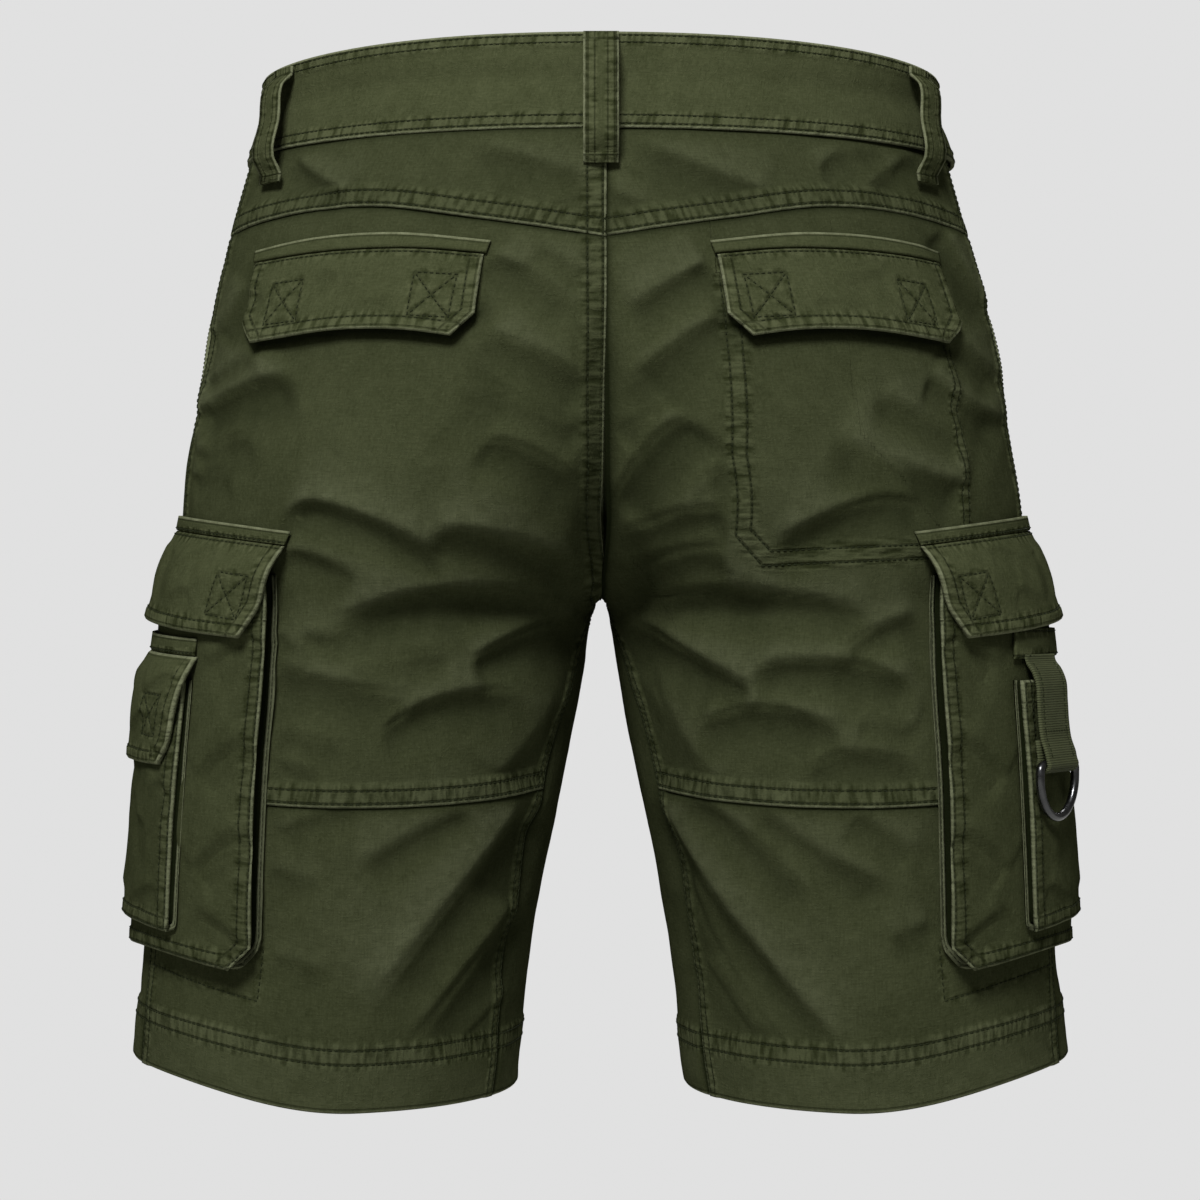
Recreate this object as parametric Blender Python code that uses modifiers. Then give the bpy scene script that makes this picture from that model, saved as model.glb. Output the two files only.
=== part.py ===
"""Cargo shorts, as the pieces of cloth that a maker cuts and sews, on a general figure.

Lengths are in millimetres in the tables and functions, and turn into metres when a mesh is made.
+Z is up, the front faces -Y, and the wearer's left is +X. The origin is the centre of the waist
ring, at the middle of the waistband's height.

A point of the cloth is given by its height z and its girth: the distance along the cloth from the
outermost line of the leg, positive towards the back. Each level of one side is an ellipse. Above
the crotch it is cut off at the centre seam, and below the crotch it is a whole leg.
"""

import math
from collections import namedtuple

import bpy
import numpy as np
from mathutils import Matrix

MM = 0.001

# ---- driving dimensions, in millimetres ----
WALL = 1.6  # a panel with its seam allowances
BAND_WALL = 2.0  # the waistband, two layers
FLAP_WALL = 2.0
LOOP_WALL = 1.8
SEAM_GAP = 0.3  # between two pieces sewn together
REST_GAP = 0.7  # between a panel and what lies on it
WAIST_TOP = 26.3  # at the centre back and front
RIM_DIP = 4.5  # how far the band's upper edge drops at the sides
WAIST_BOTTOM = -22.0
CROTCH = -254.0
KNEE_SEAM = -352.0  # at the side seam
KNEE_DIP = 6.0  # how far that seam drops at the middle of the leg
HEM = -497.0  # at the side
LAP = 26.0  # how far each end of the waistband reaches past the centre front
LAP_LIFT = 2.6
LOOP_LIFT = 9.2  # a belt loop's outer face off the waistband
BUTTON_RADIUS = 8.5
STRAP_WIDTH = 31.5
STRAP_WALL = 1.6
RING_WIRE = 4.5  # diameter
RING_WIDTH = 37.5  # between the middles of the ring's two arms
RING_DROP = 27.0  # from the middle of the straight side to the middle of the bow
RING_CORNER = 3.4
RING_PLAY = 0.45  # between the straight side and the strap's loop
FLY_WIDTH = 36.0
FLY_BOTTOM = -160.0
FACING_BOTTOM = -140.0
FACING_TOP_GIRTH = -52.0  # where the slanted pocket's edge meets the waistband
FACING_SET_BACK = 3.0

OLIVE = (0.050, 0.055, 0.027, 1.0)
OLIVE_LIGHT = (0.062, 0.068, 0.036, 1.0)
WEBBING_GREEN = (0.045, 0.050, 0.026, 1.0)
BUTTON_GREEN = (0.030, 0.034, 0.018, 1.0)
GUNMETAL = (0.018, 0.018, 0.020, 1.0)

# One level of a side: the outermost and innermost x of its ellipse, its depth to the back and to
# the front, and how much lower the inside of the leg lies than the outside.
Section = namedtuple("Section", "z x_out x_in y_back y_front sink")
SECTIONS = (
    Section(26.0, 180.0, -180.0, 113.0, 105.0, 0.0),
    Section(0.0, 183.0, -183.0, 117.0, 109.0, 0.0),
    Section(-22.0, 187.0, -187.0, 120.0, 112.0, 0.0),
    Section(-50.0, 194.5, -185.0, 124.5, 116.0, 0.0),
    Section(-77.0, 201.5, -177.0, 128.0, 119.0, 0.0),
    Section(-110.0, 209.3, -157.0, 132.0, 121.0, 0.0),
    Section(-142.0, 215.0, -131.0, 135.0, 120.0, 0.0),
    Section(-175.0, 220.6, -100.0, 135.5, 117.0, 0.0),
    Section(-207.0, 225.4, -64.0, 131.5, 113.0, 0.0),
    Section(-230.0, 227.6, -34.0, 124.0, 110.0, 0.0),
    Section(-245.0, 228.9, -13.0, 117.5, 108.0, 0.0),
    Section(CROTCH, 229.7, 0.0, 113.5, 107.0, 0.0),
    Section(-259.0, 230.2, 3.8, 112.0, 106.5, 0.0),
    Section(-293.0, 233.0, 8.6, 108.5, 104.0, 0.0),
    Section(-354.0, 238.2, 20.9, 104.5, 100.0, 0.0),
    Section(-400.0, 242.0, 31.2, 100.5, 96.0, 5.6),
    Section(-444.0, 245.4, 39.0, 97.0, 93.0, 11.2),
    Section(-480.0, 248.6, 43.0, 95.0, 91.0, 15.8),
    Section(HEM, 250.2, 45.5, 94.5, 90.5, 17.4),
)
SAG_REACH = 0.62  # share of the leg's width, from the outside, over which it sinks

# How much further out the left side stands than the right one, at its outermost line.
Lean = namedtuple("Lean", "z out")
LEAN = (Lean(HEM, 0.4), Lean(-400.0, -0.4), Lean(-325.0, -2.0), Lean(-215.0, -2.4),
        Lean(-175.0, -0.4), Lean(-140.0, -1.5), Lean(-88.0, 1.7), Lean(-20.0, 2.0), Lean(5.0, 0.0))

# Where the long seams run. The side seam is given by its girth and the inseam by its angle.
SeamPoint = namedtuple("SeamPoint", "at value")
SIDE_SEAM = (SeamPoint(HEM, 44.0), SeamPoint(WAIST_BOTTOM, 30.0))
INSEAM = (
    SeamPoint(-500.0, math.radians(152.0)),
    SeamPoint(-420.0, math.radians(155.0)),
    SeamPoint(-340.0, math.radians(157.5)),
    SeamPoint(-308.0, math.radians(162.0)),
    SeamPoint(-277.0, math.radians(170.5)),
    SeamPoint(CROTCH, math.radians(180.0)),
)
# The yoke's seam, from the side seam (0) to the point at the centre back (1), and its height.
YOKE_SEAM = (
    SeamPoint(0.00, -63.5),
    SeamPoint(0.24, -60.0),
    SeamPoint(0.40, -58.3),
    SeamPoint(0.55, -59.2),
    SeamPoint(0.75, -66.9),
    SeamPoint(1.00, -77.2),
)

# The largest folds. A fold runs from one end to the other in the plane of x and z, bowed up in its
# middle by bow. Its trough is width wide to each side and depth deep, with rounded cloth above it.
# face is +1 on the back and -1 on the front.
Fold = namedtuple("Fold", "face x0 z0 x1 z1 bow width depth")
FOLDS = (
    Fold(1, 158, -218, 66, -242, 12, 9, 4.0),
    Fold(1, 60, -174, 4, -204, -3, 9, 4.2),
    Fold(1, 86, -219, 6, -230, 3, 8, 3.8),
    Fold(1, 122, -250, 14, -250, -3, 8, 3.4),
    Fold(1, 10, -262, 82, -296, 3, 9, 3.6),
    Fold(1, 150, -262, 100, -288, 2, 9, 2.8),
    Fold(1, 206, -156, 166, -141, 2, 8, 2.4),
    Fold(1, -6, -199, -46, -164, 2, 9, 4.0),
    Fold(1, -6, -217, -60, -207, 3, 8, 3.6),
    Fold(1, -82, -231, -156, -206, 5, 9, 4.0),
    Fold(1, -14, -250, -120, -250, -3, 8, 3.4),
    Fold(1, -10, -262, -82, -296, 3, 9, 3.6),
    Fold(1, -150, -262, -100, -288, 2, 9, 2.8),
    Fold(-1, 10, -262, 86, -300, 3, 10, 3.4),
    Fold(-1, 8, -236, 96, -222, 6, 9, 3.2),
    Fold(-1, 10, -190, 70, -168, -4, 10, 2.6),
    Fold(-1, -10, -262, -90, -296, 4, 10, 3.4),
    Fold(-1, -8, -232, -88, -226, 6, 9, 3.2),
    Fold(-1, -10, -196, -76, -160, -4, 10, 2.6),
)
RIDGE_SHARE = 0.55  # a fold's ridge, of its depth
SEAM_HOLD = 14.0  # how far beside the centre seam the folds die out

# A knot of a piece that lies on the panels: where it is, and how far its outer face stands off
# them. Each row of knots runs from the front towards the back, and the rows run downwards.
Knot = namedtuple("Knot", "girth z lift")
BACK_WELT = (
    (Knot(73, -76.2, 2.6), Knot(120, -72.8, 2.6), Knot(160, -73.2, 2.6), Knot(211, -79.0, 2.6)),
    (Knot(75, -82.4, 3.2), Knot(131, -80.6, 3.2), Knot(177, -81.8, 3.2), Knot(211, -85.4, 3.2)),
)
BACK_FLAP = (
    (Knot(77, -83.4, 2.9), Knot(131, -81.6, 2.9), Knot(177, -82.8, 2.9), Knot(210, -86.4, 2.9)),
    (Knot(79, -98.0, 4.2), Knot(140, -96.0, 4.6), Knot(180, -97.0, 4.6), Knot(213, -101.0, 4.2)),
    (Knot(82, -114.0, 4.6), Knot(145, -111.0, 5.6), Knot(185, -112.0, 5.6), Knot(216, -115.5, 4.6)),
    (Knot(95, -125.5, 4.4), Knot(157, -121.8, 5.2), Knot(185, -123.4, 5.2), Knot(207, -126.6, 4.4)),
)
CARGO_BAND = (
    (Knot(-76, -212.0, 2.6), Knot(0, -210.0, 2.8), Knot(104, -217.2, 2.8), Knot(139, -221.4, 2.8)),
    (Knot(-76, -219.4, 3.4), Knot(0, -217.6, 3.8), Knot(104, -224.6, 3.8), Knot(137, -228.4, 3.8)),
)
CARGO_FLAP = (
    (Knot(-76, -219.8, 3.2), Knot(0, -218.0, 3.6), Knot(104, -225.0, 3.8), Knot(137, -228.8, 4.2)),
    (Knot(-76, -236.0, 6.2), Knot(0, -236.0, 9.6), Knot(104, -241.0, 14.8), Knot(134, -242.0, 15.8)),
    (Knot(-75, -252.0, 8.4), Knot(0, -252.0, 13.2), Knot(94, -258.0, 17.4), Knot(128, -259.0, 17.6)),
    (Knot(-66, -267.0, 9.0), Knot(0, -263.5, 15.0), Knot(94, -272.0, 18.6), Knot(118, -274.4, 18.8)),
)
CARGO_FACE = (
    (Knot(-72, -246.0, 3.0), Knot(0, -246.0, 7.6), Knot(60, -246.0, 11.4), Knot(130, -246.0, 13.0)),
    (Knot(-72, -330.0, 3.2), Knot(0, -330.0, 8.2), Knot(60, -330.0, 12.0), Knot(129, -330.0, 14.4)),
    (Knot(-72, -428.0, 2.9), Knot(0, -427.0, 7.2), Knot(60, -425.0, 10.8), Knot(127, -424.0, 13.8)),
    (Knot(-60, -438.6, 2.7), Knot(0, -437.0, 6.6), Knot(60, -433.6, 10.2), Knot(116, -436.0, 13.2)),
)
SMALL_FACE = (
    (Knot(-24, -296.0, 9.2), Knot(0, -296.0, 12.4), Knot(50, -296.0, 16.0), Knot(86, -296.0, 18.0)),
    (Knot(-24, -350.0, 9.4), Knot(0, -350.0, 12.8), Knot(50, -350.0, 16.4), Knot(85, -350.0, 18.6)),
    (Knot(-24, -420.0, 8.4), Knot(0, -420.0, 11.2), Knot(50, -420.5, 14.8), Knot(84, -422.0, 17.4)),
)
SMALL_BAND = (
    (Knot(-26, -271.0, 8.8), Knot(0, -271.4, 10.4), Knot(50, -273.0, 13.8), Knot(90, -275.0, 15.4)),
    (Knot(-26, -280.4, 9.0), Knot(0, -280.8, 10.8), Knot(50, -282.0, 14.2), Knot(90, -283.8, 16.0)),
)
SMALL_FLAP = (
    (Knot(-26, -280.8, 9.1), Knot(0, -281.2, 10.9), Knot(50, -282.4, 14.2), Knot(91, -284.2, 16.0)),
    (Knot(-27, -291.0, 12.2), Knot(0, -291.0, 15.2), Knot(50, -291.5, 18.8), Knot(90, -293.0, 21.0)),
    (Knot(-25, -326.0, 12.6), Knot(0, -326.0, 16.4), Knot(50, -327.0, 20.2), Knot(82, -328.5, 22.4)),
    (Knot(-16, -337.0, 12.8), Knot(0, -337.6, 16.2), Knot(50, -338.6, 19.8), Knot(75, -339.0, 21.8)),
)
STRAP_BAND = (
    (Knot(-26, -270.0, 8.8), Knot(0, -270.0, 10.4), Knot(50, -270.0, 13.8), Knot(86, -269.6, 15.2)),
    (Knot(-26, -283.4, 9.0), Knot(0, -284.0, 10.8), Knot(50, -284.6, 14.2), Knot(88, -285.2, 15.8)),
)

# Where a pocket's gusset runs: down its back edge, round the cut corner and along its foot.
Bend = namedtuple("Bend", "girth z")
CARGO_GUSSET = (Bend(127.5, -243), Bend(127, -330), Bend(125, -423), Bend(115, -433.6),
                Bend(60, -431.4), Bend(0, -434.4), Bend(-38, -435.6))
SMALL_GUSSET = (Bend(83, -294), Bend(83, -350), Bend(82, -418.6), Bend(50, -417.6), Bend(-8, -417))

# The strap comes out from under its band and stands off to go round the ring's straight side.
Turn = namedtuple("Turn", "z lift")
STRAP_GIRTH = 68.0  # of its middle line
STRAP_FRONT = (Turn(-285.8, 15.8), Turn(-290.0, 19.0), Turn(-296.0, 21.6), Turn(-307.0, 22.2),
               Turn(-318.0, 22.4), Turn(-326.0, 23.2), Turn(-333.0, 25.4))
STRAP_BACK = (Turn(-331.5, 18.5), Turn(-326.5, 18.2))
BAR = Turn(-339.0, 22.4)

# A belt loop: the girths of its middle line at its top and its foot (none at the centre back).
Loop = namedtuple("Loop", "name side top_girth foot_girth top bottom width")
LOOPS = (
    Loop("loop_back", 1, None, None, 25.6, -41.0, 17.6),
    Loop("loop_back_left", 1, 54.5, 69.5, 20.5, -41.0, 17.0),
    Loop("loop_back_right", -1, 54.5, 69.5, 20.5, -41.0, 17.0),
    Loop("loop_front_left", 1, -90.0, -94.0, 21.5, -40.0, 17.0),
    Loop("loop_front_right", -1, -90.0, -94.0, 21.5, -40.0, 17.0),
)
SIDES = (("left", 1), ("right", -1))

# colour, roughness and metallic value
COTTON = (OLIVE, 0.9, 0.0)
COTTON_TRIM = (OLIVE_LIGHT, 0.9, 0.0)
WEBBING = (WEBBING_GREEN, 0.75, 0.0)
HORN = (BUTTON_GREEN, 0.4, 0.0)
METAL = (GUNMETAL, 0.3, 1.0)


# ---- the form ----
def curve_through(at, knots, values):
    """Values at the points, on a smooth curve through the rising knots."""
    knots, values = np.asarray(knots, float), np.asarray(values, float)
    steps = np.diff(knots)
    slopes = np.diff(values) / steps
    inner = (slopes[:-1] * steps[1:] + slopes[1:] * steps[:-1]) / (steps[:-1] + steps[1:])
    tangents = np.concatenate([slopes[:1], inner, slopes[-1:]])
    at = np.clip(np.asarray(at, float), knots[0], knots[-1])
    low = np.clip(np.searchsorted(knots, at) - 1, 0, len(steps) - 1)
    step = steps[low]
    t = (at - knots[low]) / step
    from_low = (1 + 2 * t) * (1 - t) ** 2 * values[low] + t * (1 - t) ** 2 * step * tangents[low]
    from_high = t * t * (3 - 2 * t) * values[low + 1] + t * t * (t - 1) * step * tangents[low + 1]
    return from_low + from_high


def level(name, z):
    """One column of SECTIONS at the heights z."""
    upwards = SECTIONS[::-1]
    return curve_through(z, [row.z for row in upwards], [getattr(row, name) for row in upwards])


def seam(points, at):
    """A value along a table of pairs, such as a seam's."""
    return curve_through(at, *zip(*points))


def ellipse(z, angle):
    """Centre x, half-width and depth of the level z, on the face that the angle points to."""
    x_out, x_in = level("x_out", z), level("x_in", z)
    depth = np.where(np.sin(angle) >= 0, level("y_back", z), level("y_front", z))
    return (x_out + x_in) / 2, (x_out - x_in) / 2, depth


def relief(x, y, z):
    """How far the folds move the cloth, outwards positive."""
    moved = np.zeros_like(x)
    for fold in FOLDS:
        run, rise = fold.x1 - fold.x0, fold.z1 - fold.z0
        length = math.hypot(run, rise)
        t = ((x - fold.x0) * run + (z - fold.z0) * rise) / length**2
        above = math.copysign(1 / length, run) * ((z - fold.z0) * run - (x - fold.x0) * rise)
        above = above - fold.bow * 4 * t * (1 - t)
        inside = np.clip(t, 0, 1)
        ends = (4 * inside * (1 - inside)) ** 0.7
        trough = np.exp(-((above / fold.width) ** 2))
        ridge = np.exp(-(((above / fold.width - 1.8) / 1.2) ** 2))
        on_face = np.clip((fold.face * y - 10) / 30, 0, 1)
        moved += fold.depth * ends * on_face * (RIDGE_SHARE * ridge - trough)
    return moved * np.clip(np.abs(x) / SEAM_HOLD, 0, 1)


def outwards(z, angle):
    """Unit vectors out of the cloth, level with the ground."""
    _, width, depth = ellipse(z, angle)
    out = np.stack([np.cos(angle) / width, np.sin(angle) / depth], axis=-1)
    return out / np.linalg.norm(out, axis=-1, keepdims=True)


def cloth(side, z, angle, lift=0.0, folded=1.0):
    """Points of the cloth's outer face on one side (+1 left, -1 right), moved out by lift."""
    z, angle, lift = np.broadcast_arrays(np.asarray(z, float), angle, lift)
    centre, width, depth = ellipse(z, angle)
    x, y = centre + width * np.cos(angle), depth * np.sin(angle)
    out = outwards(z, angle)
    inwards = np.clip((1 - np.cos(angle)) / 2 / SAG_REACH, 0, 1)
    drop = level("sink", z) * np.sin(math.pi / 2 * inwards) ** 2
    moved = lift + folded * relief(side * x, y, z)
    if side > 0:
        x = x * (1 + seam(LEAN, z) / level("x_out", z))
    return np.stack([side * (x + out[..., 0] * moved), y + out[..., 1] * moved, z - drop], axis=-1)


ABSCISSAE, WEIGHTS = np.polynomial.legendre.leggauss(6)


def angle_at(z, girth):
    """The ellipse's angle at a girth. The arc's length is solved by Newton's method."""
    z, girth = np.broadcast_arrays(np.asarray(z, float), np.asarray(girth, float))
    angle = girth / ellipse(z, girth)[1]
    for _ in range(6):
        _, width, depth = ellipse(z, angle)
        part = angle[..., None] * (ABSCISSAE + 1) / 2
        speed = np.hypot(width[..., None] * np.sin(part), depth[..., None] * np.cos(part))
        arc = angle * (speed * WEIGHTS / 2).sum(axis=-1)
        angle = angle - (arc - girth) / np.hypot(width * np.sin(angle), depth * np.cos(angle))
    return angle


def side_angle(z):
    """Angle of the side seam."""
    return angle_at(z, seam(SIDE_SEAM, z))


def inner_angle(z):
    """Angle where the back ends: at the centre seam, or at the inseam below the crotch."""
    centre, width, _ = ellipse(z, 0.0)
    middle = np.arccos(np.clip(-centre / width, -1, 1))
    return np.where(np.asarray(z) > CROTCH, middle, seam(INSEAM, z))


def front_inner_angle(z):
    """Angle where the front ends, the other way round the leg."""
    return np.where(np.asarray(z) > CROTCH, -inner_angle(z), inner_angle(z) - 2 * math.pi)


def slant_angle(z):
    """Angle of the slanted pocket's edge, which runs from the waistband to the side seam."""
    share = np.clip((WAIST_BOTTOM - np.asarray(z, float)) / (WAIST_BOTTOM - FACING_BOTTOM), 0, 1)
    top = angle_at(WAIST_BOTTOM, FACING_TOP_GIRTH)
    return top + (side_angle(z) - top) * share


def knee_seam(share):
    """Height of the knee seam, from the side seam (0) to the inseam (1)."""
    share = np.asarray(share)
    return KNEE_SEAM - KNEE_DIP * np.sin(math.pi * share) - 2.0 * share


# ---- meshes ----
def material(name, colour, roughness, metallic):
    """A Principled material."""
    made = bpy.data.materials.new(name)
    made.use_nodes = True
    shader = made.node_tree.nodes["Principled BSDF"]
    shader.inputs["Base Color"].default_value = colour
    shader.inputs["Roughness"].default_value = roughness
    shader.inputs["Metallic"].default_value = metallic
    return made


def add_object(name, data, finish):
    """An object in the shorts' collection."""
    made = bpy.data.objects.new(name, data)
    data.materials.append(material(name, *finish))
    bpy.data.collections["cargo_shorts"].objects.link(made)
    return made


def grid_faces(rows, columns, flip):
    """Quads of a grid of points, turned over where flip is set."""
    faces = []
    for row in range(rows - 1):
        for column in range(columns - 1):
            first = row * columns + column
            face = (first, first + 1, first + 1 + columns, first + columns)
            faces.append(face[::-1] if flip else face)
    return faces


def add_strip(name, grid, wall, finish, flip):
    """A bent or standing strip. The grid (rows, columns, 3) is its outer face, made a wall by Solidify.

    flip turns the faces over, where the rows and columns would make them point inwards.
    """
    mesh = bpy.data.meshes.new(name)
    points = [tuple(point) for point in grid.reshape(-1, 3) * MM]
    mesh.from_pydata(points, [], grid_faces(*grid.shape[:2], flip))
    mesh.shade_smooth()
    made = add_object(name, mesh, finish)
    solid = made.modifiers.new("wall", "SOLIDIFY")
    solid.thickness = wall * MM
    solid.offset = -1


def add_wall(name, outer, inner, finish, flip):
    """A cloth wall, lofted between its outer and its inner face, so that walls meet squarely at seams.

    flip turns the faces over, where the rows and columns would make them point inwards.
    """
    rows, columns = outer.shape[:2]
    count = rows * columns
    faces = grid_faces(rows, columns, flip)
    faces += [tuple(index + count for index in face[::-1]) for face in faces]
    top = list(range(columns))
    right = [row * columns + columns - 1 for row in range(1, rows)]
    bottom = [count - 1 - column for column in range(1, columns)]
    left = [row * columns for row in range(rows - 2, 0, -1)]
    edge = top + right + bottom + left
    for first, second in zip(edge, edge[1:] + edge[:1]):
        rim = (first, first + count, second + count, second)
        faces.append(rim[::-1] if flip else rim)
    mesh = bpy.data.meshes.new(name)
    points = np.concatenate([outer.reshape(-1, 3), inner.reshape(-1, 3)]) * MM
    mesh.from_pydata([tuple(point) for point in points], [], faces)
    mesh.shade_smooth()
    add_object(name, mesh, finish)


def add_cloth(name, side, z, angle, lift, wall, finish, flip, folded=1.0, shift=0.0):
    """A piece of the given outer points, as a wall. shift moves it off the centre seam."""
    faces = []
    for off in (lift, np.asarray(lift) - wall):
        points = cloth(side, z, angle, off, folded)
        points[..., 0] += side * shift
        faces.append(points)
    add_wall(name, *faces, finish, flip)


def between(first, last, count):
    """Columns evenly spread from the values first to the values last."""
    share = np.linspace(0, 1, count)
    return np.asarray(first)[:, None] * (1 - share) + np.asarray(last)[:, None] * share


SEAM_ANGLE = SEAM_GAP / 2 / 100.0  # half a seam's gap at a leg's radius
CROTCH_ROWS = (-240.0, CROTCH, -259.0)


def add_back_panel(name, side, z):
    """A panel between the side seam and the centre seam or inseam, from its points' heights."""
    columns = z.shape[1]
    angle = between(side_angle(z[:, 0]) + SEAM_ANGLE, inner_angle(z[:, -1]) - SEAM_ANGLE, columns)
    add_cloth(name, side, z, angle, 0.0, WALL, COTTON, flip=side > 0, shift=SEAM_GAP / 2)


def add_front_panel(name, side, z, first, last, lift=0.0):
    """A panel whose columns run forwards from the angles first to the angles last."""
    angle = between(first, last, z.shape[1])
    add_cloth(name, side, z, angle, lift, WALL, COTTON, flip=side < 0, shift=SEAM_GAP / 2)


def patch_grid(rows, across, between_rows):
    """Girth, height and lift of a patch's points, from its table of knots."""
    lines = []
    for row in rows:
        known = [knot.girth for knot in row]
        girth = np.linspace(known[0], known[-1], across)
        z = curve_through(girth, known, [knot.z for knot in row])
        lines.append((girth, z, curve_through(girth, known, [knot.lift for knot in row])))
    at = np.linspace(0, len(rows) - 1, (len(rows) - 1) * between_rows + 1)
    low = np.minimum(at.astype(int), len(rows) - 2)
    part = (at - low)[:, None, None]
    lines = np.array(lines)
    grid = lines[low] * (1 - part) + lines[low + 1] * part
    return grid[:, 0], grid[:, 1], grid[:, 2]


def fold_share(lift):
    """How much of the folds shows in a piece that stands off the panels."""
    return np.clip(1.5 - np.asarray(lift) / 8, 0, 1)


def add_patch(name, side, rows, across, between_rows, wall=WALL, finish=COTTON):
    """A piece that lies on the panels, made from their points and moved out."""
    girth, z, lift = patch_grid(rows, across, between_rows)
    add_cloth(name, side, z, angle_at(z, girth), lift, wall, finish, flip=side > 0,
              folded=fold_share(lift))


def lift_in(rows, girth, z):
    """Lift of a patch's outer face at the points, from its table."""
    levels = [row[0].z for row in rows][::-1]
    by_row = [np.interp(girth, [k.girth for k in row], [k.lift for k in row]) for row in rows]
    return np.array([np.interp(at, levels, column[::-1]) for at, column in zip(z, np.array(by_row).T)])


# ---- pieces ----
def add_waistband():
    """One strip round the waist, whose left end laps over its right end at the centre front."""
    past = LAP / level("x_out", 0.0)
    angle = np.linspace(-math.pi / 2 - past, 1.5 * math.pi + past, 61)
    lap = np.clip((2.5 * past - math.pi / 2 - past / 2 - angle) / (1.5 * past) + 1, 0, 1)
    rim = WAIST_TOP - RIM_DIP * np.abs(np.cos(angle)) ** 3
    z = np.stack([rim, 0 * rim + 1.0, 0 * rim + WAIST_BOTTOM + SEAM_GAP / 2])
    add_cloth("waistband", 1, z, angle, LAP_LIFT * lap, BAND_WALL, COTTON_TRIM, True, folded=0.0)


def leg_rows(share):
    """Heights of the rows from the crotch to the knee seam and from there to the hem, at the inseam
    or at any share of the way to it."""
    knee = knee_seam(share)
    return np.linspace(-275.0, knee, 6), np.linspace(knee, HEM, 8)


def add_back(word, side):
    """Yoke, back panel and back of the lower leg, from the waistband to the hem."""
    columns = 13
    share = np.linspace(0, 1, columns)
    yoke = seam(YOKE_SEAM, share)
    knee = knee_seam(share)
    waist = np.full(columns, WAIST_BOTTOM - SEAM_GAP / 2)
    add_back_panel("yoke_" + word, side, between(waist, yoke + SEAM_GAP / 2, 4).T)
    inner = np.concatenate([np.linspace(yoke[-1], -222.0, 10), CROTCH_ROWS, leg_rows(1.0)[0]])
    outer = np.linspace(yoke[0], knee[0], len(inner))
    z = between(outer, inner, columns)
    down = np.linspace(0, 1, len(inner))[:, None]
    z += (1 - down) ** 3 * (yoke - SEAM_GAP / 2 - z[:1]) + down**3 * (knee + SEAM_GAP / 2 - z[-1:])
    add_back_panel("back_" + word, side, z)
    shin = leg_rows(share)[1]
    shin[0] -= SEAM_GAP / 2
    add_back_panel("back_lower_" + word, side, shin)


def add_front(word, side):
    """Front panel, cut away at the slanted pocket, and the facing that shows in that pocket."""
    top = WAIST_BOTTOM - SEAM_GAP / 2
    thigh, shin = leg_rows(1.0)
    inner = np.concatenate([np.linspace(top, -225.0, 9), CROTCH_ROWS, thigh, shin[1:]])
    outer = np.concatenate([np.linspace(top, FACING_BOTTOM, 8),
                            np.linspace(-160.0, HEM, len(inner) - 8)])
    # The rows come level towards the inner edge, or the cloth at the crotch would pass its seam.
    share = 1 - (1 - np.linspace(0, 1, 16)) ** 2
    z = outer[:, None] + (inner - outer)[:, None] * share
    add_front_panel("front_" + word, side, z, slant_angle(outer) - SEAM_ANGLE,
                    front_inner_angle(inner) + SEAM_ANGLE)
    z = between(np.linspace(top, FACING_BOTTOM + 8.0, 8), np.linspace(top, FACING_BOTTOM + 8.0, 8), 4)
    tuck = 8.0 / level("x_out", FACING_BOTTOM)
    add_front_panel("hip_facing_" + word, side, z, side_angle(z[:, 0]) - 3 * SEAM_ANGLE,
                    slant_angle(z[:, 0]) - tuck, lift=-FACING_SET_BACK)


def add_fly():
    """The fly's outer strip on the wearer's left front, rounded at its foot."""
    z = np.linspace(WAIST_BOTTOM - SEAM_GAP, FLY_BOTTOM, 10)[:, None]
    foot = np.clip((z - FLY_BOTTOM) / FLY_WIDTH, 0, 1)
    reach = 2.0 + (FLY_WIDTH - 2.0) * np.sqrt(1 - (1 - foot) ** 2)
    centre, width, _ = ellipse(z, 0.0)
    x = SEAM_GAP + reach * np.linspace(0, 1, 4)
    angle = -np.arccos((x - centre) / width)
    add_cloth("fly_placket", 1, z, angle, REST_GAP + WALL, WALL, COTTON, flip=True)


def add_button():
    """The waist button, turned, with a raised rim and a short shank."""
    profile = ((0.0, 3.4), (5.2, 3.4), (6.0, 4.2), (7.8, 4.2), (BUTTON_RADIUS, 3.4),
               (BUTTON_RADIUS, 2.2), (7.4, 1.5), (3.0, 1.2), (3.0, 0.0), (0.0, 0.0))
    mesh = bpy.data.meshes.new("waist_button")
    edges = [(index, index + 1) for index in range(len(profile) - 1)]
    mesh.from_pydata([(radius * MM, 0.0, height * MM) for radius, height in profile], edges, [])
    button = add_object("waist_button", mesh, HORN)
    turned = button.modifiers.new("turned", "SCREW")
    turned.steps = turned.render_steps = 14
    turned.use_merge_vertices = True
    turned.merge_threshold = 0.01 * MM
    button.rotation_euler = (math.pi / 2, 0, 0)
    button.location = (0.0, -(level("y_front", 0.0) + LAP_LIFT + SEAM_GAP) * MM, 0.0)


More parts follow.
